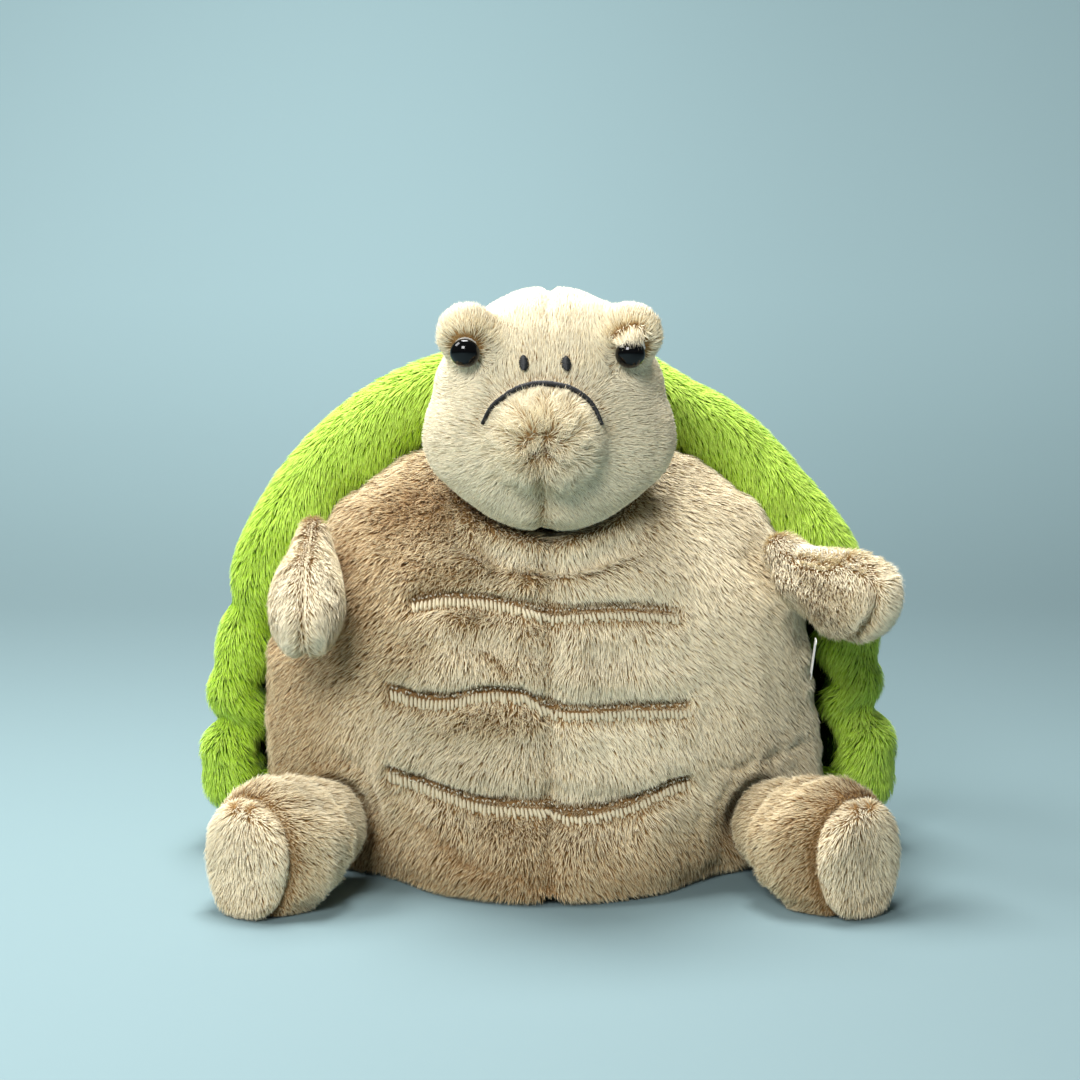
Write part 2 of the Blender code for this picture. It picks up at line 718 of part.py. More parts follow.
def main():
    for made in list(bpy.data.objects):
        bpy.data.objects.remove(made, do_unlink=True)
    cream = finish("cream plush", (0.62, 0.50, 0.34), 0.95)
    green = finish("green plush", (0.30, 0.56, 0.03), 0.95)
    dark_green = finish("green lining", (0.10, 0.24, 0.02), 0.95)
    fibre = finish("polyester fibre", (0.85, 0.85, 0.83), 0.95)
    gloss = finish("black eye plastic", (0.004, 0.004, 0.005), 0.08)
    nylon = finish("white nylon", (0.80, 0.80, 0.78), 0.5)

    seat_radius = HEAD_SEAT_RADIUS + SWING_GAP
    seats = {"head": ball("head seat", head_centre(), (seat_radius,) * 3, SEAT_SIDES)}
    for label, side in (("left", 1), ("right", -1)):
        for joint, centre, radius in (
            ("shoulder", shoulder(side), ARM_ROOT_RADIUS),
            ("hip", hip(side), LEG_ROOT_RADIUS),
        ):
            seats[f"{joint}_{label}"] = ball(
                f"{joint} seat {label}", centre, (radius + SWING_GAP,) * 3, LIMB_SEAT_SIDES
            )
    build_body(cream, fibre, seats)
    build_head(cream, fibre, gloss, nylon)
    left = limb_frame(ARM_LEFT_HEADING_DEG, ARM_LEFT_DROP_DEG, 1)
    right = limb_frame(ARM_RIGHT_HEADING_DEG, ARM_RIGHT_DROP_DEG, -1)
    arm("left", 1, left, cream, fibre)
    arm("right", -1, right, cream, fibre)
    for label, side in (("left", 1), ("right", -1)):
        leg(label, side, limb_frame(LEG_HEADING_DEG, 0.0, side), cream, fibre)
    build_shell(green, dark_green, fibre)


main()
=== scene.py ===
"""Looks of a seated plush turtle: sewn pile-fabric skins, real strands of pile, glossy eyes and stitching.

Every length is in metres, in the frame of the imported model: +X is the toy's own left, -Y its front and +Z
up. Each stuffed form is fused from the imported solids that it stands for, relaxed, drawn in by the depth of
its pile and dressed with strands that lie the way the real pile is combed.
"""

import json
import logging
import math
from dataclasses import dataclass, field, replace
from enum import Enum
from typing import ClassVar

import bmesh
import bpy
import numpy as np
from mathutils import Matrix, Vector
from mathutils.bvhtree import BVHTree

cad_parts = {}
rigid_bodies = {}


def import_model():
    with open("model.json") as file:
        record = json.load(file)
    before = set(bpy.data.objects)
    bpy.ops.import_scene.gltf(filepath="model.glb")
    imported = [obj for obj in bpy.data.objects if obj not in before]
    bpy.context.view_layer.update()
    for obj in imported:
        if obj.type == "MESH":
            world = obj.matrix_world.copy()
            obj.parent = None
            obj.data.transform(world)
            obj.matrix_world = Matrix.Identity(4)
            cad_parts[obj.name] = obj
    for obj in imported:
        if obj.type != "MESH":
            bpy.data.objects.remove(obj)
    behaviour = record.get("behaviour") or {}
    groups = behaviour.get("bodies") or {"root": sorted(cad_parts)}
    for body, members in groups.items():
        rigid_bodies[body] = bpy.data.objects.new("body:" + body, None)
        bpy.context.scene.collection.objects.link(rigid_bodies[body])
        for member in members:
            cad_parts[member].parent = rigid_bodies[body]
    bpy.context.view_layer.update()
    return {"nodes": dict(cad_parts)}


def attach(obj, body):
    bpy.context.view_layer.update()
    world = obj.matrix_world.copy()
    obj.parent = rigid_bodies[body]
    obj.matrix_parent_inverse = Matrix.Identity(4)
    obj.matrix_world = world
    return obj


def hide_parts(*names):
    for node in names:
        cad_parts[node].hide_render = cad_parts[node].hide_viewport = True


LOG = logging.getLogger("plush_turtle")

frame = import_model()


# How low the skins and the ends of the strands may lie above the ground
LOWEST_SKIN = 0.0016
LOWEST_STRAND = 0.0003


# Shared types


Array = np.ndarray
Colour = tuple[float, float, float, float]
Faces = list[tuple[int, ...]]
Place = tuple[float, float, float]
Line = tuple[tuple[float, float], ...]
Socket, Tree, Node = bpy.types.NodeSocket, bpy.types.NodeTree, bpy.types.Node
Material, Mesh, Object = bpy.types.Material, bpy.types.Mesh, bpy.types.Object


class Body(Enum):
    """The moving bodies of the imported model."""

    TORSO = "torso"
    HEAD = "head"
    ARM_LEFT = "arm_left"
    ARM_RIGHT = "arm_right"
    LEG_LEFT = "leg_left"
    LEG_RIGHT = "leg_right"


class Slot(Enum):
    """The material slots of the record."""

    CREAM = "cream_plush"
    GREEN = "green_plush"
    LINING = "green_lining"
    FIBRE = "polyester_fibre"
    EYE = "black_eye_plastic"
    NYLON = "white_nylon"


def srgb(code: str) -> Colour:
    """Turns a hex sRGB colour into linear light.

    Args:
        code: six hex digits, such as "EDE5C8".

    Returns:
        Linear red, green, blue and an alpha of one.
    """
    channels = [int(code[i : i + 2], 16) / 255 for i in (0, 2, 4)]
    linear = [c / 12.92 if c <= 0.04045 else ((c + 0.055) / 1.055) ** 2.4 for c in channels]
    return (linear[0], linear[1], linear[2], 1.0)


def fill_inputs(tree: Tree, node: Node, inputs: dict) -> None:
    """Links or sets the inputs of a node.

    Args:
        tree: the shader or geometry tree.
        node: the node.
        inputs: by socket name or number, a socket to link or a value to set.
    """
    for key, value in inputs.items():
        if isinstance(value, Socket):
            tree.links.new(value, node.inputs[key])
        else:
            node.inputs[key].default_value = value


def add_node(
    tree: Tree, kind: str, settings: dict | None = None, inputs: dict | None = None
) -> Node:
    """Adds a node, with its settings, and fills or links its inputs.

    Args:
        tree: the shader or geometry tree.
        kind: the node's type name.
        settings: node properties by name.
        inputs: by socket name or number, a socket to link or a value to set.

    Returns:
        The new node.
    """
    node = tree.nodes.new(kind)
    for name, value in (settings or {}).items():
        setattr(node, name, value)
    fill_inputs(tree, node, inputs or {})
    return node


def add_math(tree: Tree, operation: str, *values: float | Socket) -> Socket:
    """The result of one arithmetic step in a tree."""
    return add_node(tree, "ShaderNodeMath", {"operation": operation}, dict(enumerate(values))).outputs[0]


def new_material(name: str) -> tuple[Material, Tree, Node]:
    """A material, its tree and its surface shader."""
    material = bpy.data.materials.new(name)
    material.use_nodes = True
    return material, material.node_tree, material.node_tree.nodes["Principled BSDF"]


def unit(vectors: Array) -> Array:
    """Rows scaled to length one."""
    return vectors / np.maximum(np.linalg.norm(vectors, axis=-1, keepdims=True), 1e-12)


def smooth_step(value: Array, low: float, high: float) -> Array:
    """Zero below low, one above high and a soft change between."""
    share = np.clip((value - low) / (high - low), 0.0, 1.0)
    return share * share * (3 - 2 * share)


# Finishes


@dataclass(frozen=True)
class PileFinish:
    """Long-pile plush: knitted polyester backing with brushed acrylic strands.

    Attributes:
        name: common name of the fabric.
        root: colour of the strand ends deep in the pile: their darker roots, with the shade between tufts
            painted in.
        low: colour just above them.
        middle: colour of a strand's length.
        tip: colour of a strand's pale end.
        backing: colour of the knitted ground.
        PATCH: size of the patches of its pile.
        LOOP: spacing of the ground's loops.
    """

    PATCH: ClassVar[float] = 0.014
    LOOP: ClassVar[float] = 0.0009
    name: str
    root: str
    low: str
    middle: str
    tip: str
    backing: str

    def strands(self) -> Material:
        """The strands: soft and matt, with a faint sheen at grazing angles from their smooth fibres."""
        material, tree, shader = new_material(f"{self.name} pile, brushed acrylic")
        along, shade, tint = (
            add_node(tree, "ShaderNodeAttribute", {"attribute_name": name}).outputs["Fac"]
            for name in ("along", "shade", "tint")
        )
        place = add_node(tree, "ShaderNodeTexCoord").outputs["Object"]
        # Patches where the pile stands more or less open
        patches = add_node(
            tree, "ShaderNodeTexNoise", None, {"Vector": place, "Scale": 1 / self.PATCH, "Detail": 2.0}
        )
        shifted = add_math(tree, "MULTIPLY_ADD", tint, 0.5, along)
        patchy = add_math(tree, "MULTIPLY_ADD", patches.outputs["Fac"], 0.24, shifted)
        ramp = add_node(tree, "ShaderNodeValToRGB", None, {"Fac": add_math(tree, "SUBTRACT", patchy, 0.12)})
        stops = ramp.color_ramp.elements
        stops[0].position, stops[0].color = 0.0, srgb(self.root)
        stops[1].position, stops[1].color = 0.92, srgb(self.tip)
        stops.new(0.22).color = srgb(self.low)
        stops.new(0.5).color = srgb(self.middle)
        bright = add_math(tree, "MULTIPLY_ADD", shade, 0.30, 0.86)
        varied = add_node(
            tree, "ShaderNodeHueSaturation", None, {"Value": bright, "Color": ramp.outputs["Color"]}
        )
        fill_inputs(tree, shader, {
            "Base Color": varied.outputs["Color"], "Roughness": 0.72, "Specular IOR Level": 0.25,
            "Sheen Weight": 0.18, "Sheen Roughness": 0.45,
        })
        return material

    def ground(self) -> Material:
        """The knitted ground under the pile: dull, with loops."""
        material, tree, shader = new_material(f"{self.name} ground, knitted polyester")
        place = add_node(tree, "ShaderNodeTexCoord").outputs["Object"]
        loops = add_node(tree, "ShaderNodeTexVoronoi", None, {"Vector": place, "Scale": 1 / self.LOOP})
        height = loops.outputs["Distance"]
        mixed = add_node(
            tree, "ShaderNodeMix", {"data_type": "RGBA"},
            {"Factor": height, 6: srgb(self.backing), 7: srgb(self.root)},
        )
        bump = add_node(tree, "ShaderNodeBump", None, {"Height": height, "Distance": 0.0004})
        fill_inputs(tree, shader, {
            "Base Color": mixed.outputs[2], "Normal": bump.outputs["Normal"], "Roughness": 0.95,
            "Specular IOR Level": 0.1,
        })
        return material


CREAM = PileFinish("cream plush", "866136", "B39264", "DECBA1", "FCF1D3", "A88A5B")
GREEN = PileFinish("green plush", "3C5F0C", "6D9C18", "AAD22A", "D3F368", "5A8212")
LINING = PileFinish("green lining plush", "1F3A05", "3C6A0C", "66961A", "8CBE2C", "2F5208")


@dataclass(frozen=True)
class PlainFinish:
    """A finish with one base colour and a fine surface grain.

    Attributes:
        name: common name of the material and how its surface was made.
        colour: sRGB hex of the surface.
        roughness: typical roughness of the surface.
        ior: index of refraction.
        grain: spacing of the surface grain, in metres.
        relief: height of the grain, in metres.
        gloss: how strongly the surface reflects, as Blender's specular level.
    """

    name: str
    colour: str
    roughness: float
    ior: float
    grain: float
    relief: float
    gloss: float = 0.5

    def material(self) -> Material:
        """The finish as a node material, with its grain in the colour, the roughness and the bump."""
        material, tree, shader = new_material(self.name)
        place = add_node(tree, "ShaderNodeTexCoord").outputs["Object"]
        noise = add_node(
            tree, "ShaderNodeTexNoise", None, {"Vector": place, "Scale": 1 / self.grain, "Detail": 3.0}
        )
        grain = noise.outputs["Fac"]
        colour = srgb(self.colour)
        darker = (colour[0] * 0.8, colour[1] * 0.8, colour[2] * 0.8, 1.0)
        mix = {"Factor": grain, 6: darker, 7: colour}
        mixed = add_node(tree, "ShaderNodeMix", {"data_type": "RGBA"}, mix)
        rough = add_node(
            tree, "ShaderNodeMapRange", None,
            {"Value": grain, "To Min": self.roughness * 0.85, "To Max": self.roughness * 1.15},
        )
        bump = add_node(tree, "ShaderNodeBump", None, {"Height": grain, "Distance": self.relief})
        fill_inputs(tree, shader, {
            "Base Color": mixed.outputs[2], "Roughness": rough.outputs[0], "Normal": bump.outputs["Normal"],
            "IOR": self.ior, "Specular IOR Level": self.gloss,
        })
        return material


# Safety eyes are moulded in black ABS and polished, so they reflect the lamps as crisp dots.
EYE_ABS = PlainFinish("polished black ABS", "060607", 0.07, 1.53, 0.004, 0.000002, 0.30)
# Embroidery thread is trilobal polyester: dark, with a slight gleam along each stitch.
BLACK_THREAD = PlainFinish("black embroidery thread, polyester", "17181A", 0.5, 1.5, 0.0004, 0.00006)
# Sewing thread is spun polyester, nearly white, and dull.
CREAM_THREAD = PlainFinish("cream sewing thread, spun polyester", "F4EDD6", 0.7, 1.5, 0.0004, 0.00006)
# Gathered cloth is the plush itself, with its pile pressed flat by the tuck's stitches.
GATHERED = PlainFinish("gathered plush, pile pressed flat", "E9DCBB", 0.85, 1.45, 0.0005, 0.00012)
# Filling is loose crimped polyester fibre, white and soft.
FILLING = PlainFinish("polyester fibre filling", "ECECE8", 0.95, 1.45, 0.003, 0.0008)
# Lock washers are moulded in natural nylon, with a satin surface.
NYLON = PlainFinish("natural nylon, moulded", "E6E4DC", 0.45, 1.53, 0.002, 0.00002)
# The sewn-in ribbon is white woven polyester tape.
RIBBON = PlainFinish("white woven ribbon, polyester", "F2F2EE", 0.6, 1.5, 0.0006, 0.00004)


# Pile strands


class PieceTree:
    """A Geometry Nodes tree with named inputs, built once and used for many pieces."""

    NAME = "piece"
    INPUTS: tuple[tuple[str, str], ...] = ()
    SPENT: tuple[str, ...] = ()

    def __init__(self) -> None:
        """Makes the tree's sockets and links its nodes."""
        self.tree = bpy.data.node_groups.new(self.NAME, "GeometryNodeTree")
        sides = self.tree.interface
        sides.new_socket("Geometry", in_out="INPUT", socket_type="NodeSocketGeometry")
        self.ids = {
            name: sides.new_socket(name, in_out="INPUT", socket_type=kind).identifier
            for name, kind in self.INPUTS
        }
        sides.new_socket("Geometry", in_out="OUTPUT", socket_type="NodeSocketGeometry")
        self.given = self._node("NodeGroupInput").outputs
        self._node("NodeGroupOutput", None, {0: self._linked()})

    def _linked(self) -> Socket:
        """The geometry that the whole tree gives out."""
        raise NotImplementedError

    def _node(self, kind: str, settings: dict | None = None, inputs: dict | None = None) -> Node:
        """Adds one node to the tree."""
        return add_node(self.tree, kind, settings, inputs)

    def _named(self, name: str, kind: str = "FLOAT") -> Socket:
        """A value stored at each place."""
        return self._node("GeometryNodeInputNamedAttribute", {"data_type": kind}, {"Name": name}).outputs[0]

    def _align(self, axis: str, way: Socket, after: Socket | None = None) -> Socket:
        """A rotation that turns an axis towards a direction, freely or about Z after another rotation."""
        settings = {"axis": axis} if after is None else {"axis": axis, "pivot_axis": "Z"}
        inputs = {"Vector": way} if after is None else {"Vector": way, "Rotation": after}
        return self._node("FunctionNodeAlignRotationToVector", settings, inputs).outputs[0]

    def _copies(self, points: Socket, shape: Socket, rotation: Socket, scale: Socket) -> Socket:
        """Real copies of a shape on points."""
        placed = self._node(
            "GeometryNodeInstanceOnPoints", None,
            {"Points": points, "Instance": shape, "Rotation": rotation, "Scale": scale},
        )
        return self._node("GeometryNodeRealizeInstances", None, {"Geometry": placed.outputs[0]}).outputs[0]

    def _painted(self, geometry: Socket, material: Socket) -> Socket:
        """The geometry with a material on it."""
        inputs = {"Geometry": geometry, "Material": material}
        return self._node("GeometryNodeSetMaterial", None, inputs).outputs[0]

    def grow(self, made: Object, values: dict[str, object]) -> Mesh:
        """Runs the tree on an object, which gets the result as its plain mesh.

        Args:
            made: the object.
            values: the tree's inputs by name.

        Returns:
            The new mesh, without the values that only the tree reads.
        """
        step = made.modifiers.new(self.NAME, "NODES")
        step.node_group = self.tree
        for label, value in values.items():
            step[self.ids[label]] = value
        graph = bpy.context.evaluated_depsgraph_get()
        grown = bpy.data.meshes.new_from_object(made.evaluated_get(graph))
        made.modifiers.clear()
        bare, made.data = made.data, grown
        bpy.data.meshes.remove(bare)
        grown.name = made.name
        for label in self.SPENT:
            if label in grown.attributes:
                grown.attributes.remove(grown.attributes[label])
        return grown


class StrandTree(PieceTree):
    """The tree that grows strands of pile from a skin."""

    NAME = "grow pile"
    INPUTS = (
        ("Density", "NodeSocketFloat"),
        ("Strand width", "NodeSocketFloat"),
        ("Clump size", "NodeSocketFloat"),
        ("Clump strength", "NodeSocketFloat"),
        ("Disorder", "NodeSocketFloat"),
        ("Seed", "NodeSocketInt"),
        ("Strand material", "NodeSocketMaterial"),
        ("Ground material", "NodeSocketMaterial"),
    )
    SPENT = ("comb", "facing", "pile", "cover", "wild", "strand", "across")

    def _math(self, operation: str, *values: float | Socket) -> Socket:
        """The result of one arithmetic step."""
        return add_math(self.tree, operation, *values)

    def _vector(self, operation: str, *values: tuple | Socket) -> Socket:
        """The result of one vector step."""
        inputs = {(3 if operation == "SCALE" and i == 1 else i): value for i, value in enumerate(values)}
        step = self._node("ShaderNodeVectorMath", {"operation": operation}, inputs)
        return step.outputs["Value" if operation == "DOT_PRODUCT" else 0]

    def _random(self, low: float, high: float, seed: int) -> Socket:
        """A random number for each point."""
        inputs = {2: low, 3: high, "Seed": seed}
        return self._node("FunctionNodeRandomValue", {"data_type": "FLOAT"}, inputs).outputs[1]

    def _joined(self, *values: Socket) -> Socket:
        """A vector of its parts."""
        return self._node("ShaderNodeCombineXYZ", None, dict(enumerate(values))).outputs[0]

    def _store(
        self, geometry: Socket, name: str, value: Socket, kind: str = "FLOAT", domain: str = "POINT"
    ) -> Socket:
        """The geometry with a value stored on it."""
        node = self._node(
            "GeometryNodeStoreNamedAttribute", {"data_type": kind, "domain": domain},
            {"Geometry": geometry, "Name": name, "Value": value},
        )
        return node.outputs["Geometry"]

    def _strand(self) -> Socket:
        """One strand: a tapering strip one long and one wide, which bows away from the skin."""
        strip = self._node(
            "GeometryNodeMeshGrid", None, {"Size X": 1.0, "Size Y": 1.0, "Vertices X": 2, "Vertices Y": 3}
        )
        place = self._node("GeometryNodeInputPosition").outputs[0]
        parts = self._node("ShaderNodeSeparateXYZ", None, {0: place}).outputs
        along = self._math("ADD", parts["Y"], 0.5)
        narrow = self._math("SUBTRACT", 1.0, self._math("POWER", along, 1.6))
        across = self._math("MULTIPLY", self._math("MULTIPLY", parts["X"], -1.0), narrow)
        bow = self._math("MULTIPLY", self._math("MULTIPLY", along, self._math("SUBTRACT", 1.0, along)), 0.55)
        # Both are stored before the strip's own corners move.
        stored = self._store(strip.outputs["Mesh"], "along", along)
        stored = self._store(stored, "across", across)
        bowed = {"Geometry": stored, "Position": self._joined(across, bow, along)}
        moved = self._node("GeometryNodeSetPosition", None, bowed)
        merged = self._node(
            "GeometryNodeMergeByDistance", None, {"Geometry": moved.outputs[0], "Distance": 0.001}
        )
        return merged.outputs[0]

    def _heading(self, facing: Socket) -> Socket:
        """The way each strand leans: its comb, its lock's and its own stray part, laid along the skin.

        Args:
            facing: the way the skin faces.

        Returns:
            The unit direction of each strand.
        """
        place = self._node("GeometryNodeInputPosition").outputs[0]
        per_metre = self._math("DIVIDE", 1.0, self.given["Clump size"])
        clump = self._node(
            "ShaderNodeTexNoise", {"noise_dimensions": "3D"},
            {"Vector": place, "Scale": per_metre, "Detail": 1.0},
        )
        gather = self._vector("SUBTRACT", clump.outputs["Color"], (0.5, 0.5, 0.5))
        wild = self._named("wild")
        locks = self._math("MULTIPLY", self._math("MULTIPLY", self.given["Clump strength"], wild), 4.0)
        gather = self._vector("SCALE", gather, locks)
        stray = self._node(
            "FunctionNodeRandomValue", {"data_type": "FLOAT_VECTOR"},
            {"Min": (-1.0, -1.0, -1.0), "Max": (1.0, 1.0, 1.0), "Seed": 11},
        )
        loose = self._math("MULTIPLY", self.given["Disorder"], wild)
        stray = self._vector("SCALE", stray.outputs[0], loose)
        lie = self._vector("ADD", self._named("comb", "FLOAT_VECTOR"), self._vector("ADD", gather, stray))
        # Only the part of it that lies along the skin bends a strand, so none grows inwards.
        inwards = self._vector("SCALE", facing, self._vector("DOT_PRODUCT", lie, facing))
        return self._vector("NORMALIZE", self._vector("ADD", self._vector("SUBTRACT", lie, inwards), facing))

    def _linked(self) -> Socket:
        """The skin with its strands."""
        skin = self.given["Geometry"]
        spread = self._node(
            "GeometryNodeDistributePointsOnFaces", {"distribute_method": "RANDOM"},
            {
                "Mesh": skin,
                "Density": self._math("MULTIPLY", self._named("cover"), self.given["Density"]),
                "Seed": self.given["Seed"],
            },
        )
        facing = self._named("facing", "FLOAT_VECTOR")
        faced = self._align("Y", facing, self._align("Z", self._heading(facing)))
        twist = {"Axis": (0.0, 0.0, 1.0), "Angle": self._random(-0.7, 0.7, 12)}
        turn = self._node("FunctionNodeAxisAngleToRotation", None, twist)
        turned = self._node(
            "FunctionNodeRotateRotation", {"rotation_space": "LOCAL"},
            {"Rotation": faced, "Rotate By": turn.outputs[0]},
        )
        length = self._math("MULTIPLY", self._named("pile"), self._random(0.7, 1.12, 13))
        size = self._joined(self.given["Strand width"], length, length)
        points = self._store(spread.outputs["Points"], "shade", self._random(0.0, 1.0, 14))
        points = self._store(points, "strand", self._node("GeometryNodeInputIndex").outputs[0])
        count = self._node(
            "GeometryNodeAttributeDomainSize", {"component": "POINTCLOUD"}, {"Geometry": points}
        )
        real = self._copies(points, self._strand(), turned.outputs[0], size)
        # Each strand gets a cell of its own on the OFBake sheet.
        cells = self._math("CEIL", self._math("SQRT", count.outputs["Point Count"]))
        column = self._math("MODULO", self._named("strand"), cells)
        row = self._math("FLOOR", self._math("DIVIDE", self._named("strand"), cells))
        sheet_x = self._math("ADD", column, self._math("MULTIPLY_ADD", self._named("across"), 0.7, 0.5))
        sheet_y = self._math("ADD", row, self._math("MULTIPLY_ADD", self._named("along"), 0.76, 0.12))
        sheet_y = self._math("MULTIPLY", self._math("DIVIDE", sheet_y, cells), 0.93)
        sheet = self._joined(self._math("DIVIDE", sheet_x, cells), sheet_y)
        strands = self._store(real, "OFBake", sheet, "FLOAT2", "CORNER")
        strands = self._painted(strands, self.given["Strand material"])
        joined = self._node("GeometryNodeJoinGeometry", None, {0: strands})
        fill_inputs(self.tree, joined, {0: self._painted(skin, self.given["Ground material"])})
        return joined.outputs[0]


@dataclass(frozen=True)
class Pile:
    """How one piece's pile is made.

    Attributes:
        finish: the fabric.
        slot: the record's slot that it stands for.
        density: strands in a square metre where the skin is fully covered.
        width: width of a strand at its root.
        clump: size of the locks that strands gather in.
        gather: how strongly they gather.
        disorder: how far single strands stray.
        seed: fixed seed of the growth.
    """

    finish: PileFinish
    slot: Slot
    density: float
    width: float
    clump: float
    gather: float
    disorder: float
    seed: int


# Skins


@dataclass
class Skin:
    """A sheet of fabric as bare arrays, before it is dressed.

    Attributes:
        points: corner places.
        faces: corner numbers of each face.
        facing: outward unit vectors at the corners.
        comb: the way the pile lies, longer where it lies flatter.
        pile: strand length at the corners.
        cover: share of the full density at the corners.
        tint: how pale (above zero) or dark (below) the pile is drawn, from its tips and roots showing and
            from painted light and shade.
        wild: how tousled the pile is, as a share of the fabric's own disorder.
    """

    points: Array
    faces: Faces
    facing: Array
    comb: Array = field(default_factory=lambda: np.zeros((0, 3)))
    pile: Array = field(default_factory=lambda: np.zeros(0))
    cover: Array = field(default_factory=lambda: np.zeros(0))
    tint: Array = field(default_factory=lambda: np.zeros(0))
    wild: Array = field(default_factory=lambda: np.zeros(0))

    def part(self, chosen: Array) -> "Skin":
        """The sheet of some of the faces.

        Args:
            chosen: one truth value for each face.

        Returns:
            A new sheet with only their corners.
        """
        kept = [face for face, keep in zip(self.faces, chosen) if keep]
        used = sorted({corner for face in kept for corner in face})
        place = {corner: i for i, corner in enumerate(used)}
        rows = np.array(used, dtype=int)
        return Skin(
            self.points[rows], [tuple(place[c] for c in face) for face in kept], self.facing[rows],
            self.comb[rows], self.pile[rows], self.cover[rows], self.tint[rows], self.wild[rows],
        )

    def centres(self) -> Array:
        """The middle of each face."""
        return np.array([self.points[list(face)].mean(axis=0) for face in self.faces])


def mesh_arrays(mesh: Mesh) -> tuple[Array, Faces, Array]:
    """Reads a mesh as arrays.

    Args:
        mesh: the mesh.

    Returns:
        Corner places, faces and outward unit vectors at the corners.
    """
    points = np.empty(len(mesh.vertices) * 3)
    mesh.vertices.foreach_get("co", points)
    facing = np.empty(len(mesh.vertices) * 3)
    mesh.vertices.foreach_get("normal", facing)
    faces = [tuple(polygon.vertices) for polygon in mesh.polygons]
    return points.reshape(-1, 3), faces, facing.reshape(-1, 3)


def make_mesh(name: str, points: Array, faces: Faces) -> Mesh:
    """A smooth-shaded mesh from arrays."""
    mesh = bpy.data.meshes.new(name)
    mesh.from_pydata([tuple(point) for point in points], [], faces)
    mesh.shade_smooth()
    mesh.update()
    return mesh


def corner_facing(points: Array, faces: Faces) -> Array:
    """Outward unit vectors at the corners, read from a mesh made for it."""
    mesh = make_mesh("facing", points, faces)
    facing = mesh_arrays(mesh)[2]
    bpy.data.meshes.remove(mesh)
    return facing


def add_object(name: str, mesh: Mesh) -> Object:
    """Puts a mesh into the scene at the origin."""
    made = bpy.data.objects.new(name, mesh)
    bpy.context.scene.collection.objects.link(made)
    return made


def bare(points: Array, faces: Faces) -> Skin:
    """A skin with its outward vectors, without its pile's values."""
    return Skin(points, faces, corner_facing(points, faces))


def pushed(points: Array, facing: Array, out: Array) -> Array:
    """Places moved out along the way that they face."""
    return points + facing * out[:, None]


def gap_to(points: Array, place: Array | Place) -> Array:
    """Distance from a place to each corner."""
    return np.linalg.norm(points - np.array(place), axis=1)


def relax(points: Array, faces: Faces, rounds: int) -> Array:
    """Evens out a skin by moving each corner towards the middle of its neighbours.

    Args:
        points: corner places.
        faces: faces.
        rounds: how often.

    Returns:
        The moved places.
    """
    pairs = {(min(a, b), max(a, b)) for face in faces for a, b in zip(face, face[1:] + face[:1])}
    edges = np.array(sorted(pairs))
    ends = np.concatenate([edges, edges[:, ::-1]])
    count = np.bincount(ends[:, 0], minlength=len(points))[:, None]
    for _ in range(rounds):
        total = np.zeros_like(points)
        np.add.at(total, ends[:, 0], points[ends[:, 1]])
        points = 0.5 * points + 0.5 * total / np.maximum(count, 1)
    return points


def fused(nodes: list[str], voxel: float, rounds: int) -> Skin:
    """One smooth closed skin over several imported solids.

    Args:
        nodes: names of the solids.
        voxel: spacing of the new skin's corners.
        rounds: how often it is relaxed.

    Returns:
        The skin, without its pile's values.
    """
    joined = bmesh.new()
    for name in nodes:
        joined.from_mesh(frame["nodes"][name].data)
    rough = bpy.data.meshes.new("rough")
    joined.to_mesh(rough)
    joined.free()
    holder = add_object("rough form", rough)
    step = holder.modifiers.new("even skin", "REMESH")
    step.mode = "VOXEL"
    step.voxel_size = voxel
    graph = bpy.context.evaluated_depsgraph_get()
    even = bpy.data.meshes.new_from_object(holder.evaluated_get(graph))
    bpy.data.objects.remove(holder, do_unlink=True)
    bpy.data.meshes.remove(rough)
    points, faces, _ = mesh_arrays(even)
    bpy.data.meshes.remove(even)
    points, faces = outer_shell(points, faces)
    return bare(relax(points, faces, rounds), faces)


def outer_shell(points: Array, faces: Faces) -> tuple[Array, Faces]:
    """Keeps the largest closed sheet, and drops what lies inside it.

    Args:
        points: corner places.
        faces: faces.

    Returns:
        The places and faces that are kept.
    """
    label = np.arange(len(points))
    ends = np.array([(a, b) for face in faces for a, b in zip(face, face[1:] + face[:1])])
    changed = True
    while changed:
        low = np.minimum(label[ends[:, 0]], label[ends[:, 1]])
        after = label.copy()
        np.minimum.at(after, ends[:, 0], low)
        np.minimum.at(after, ends[:, 1], low)
        after = after[after]
        changed = bool((after != label).any())
        label = after
    names, counts = np.unique(label, return_counts=True)
    chosen = label == names[counts.argmax()]
    place = np.cumsum(chosen) - 1
    kept = [tuple(int(place[c]) for c in face) for face in faces if chosen[face[0]]]
    return points[chosen], kept


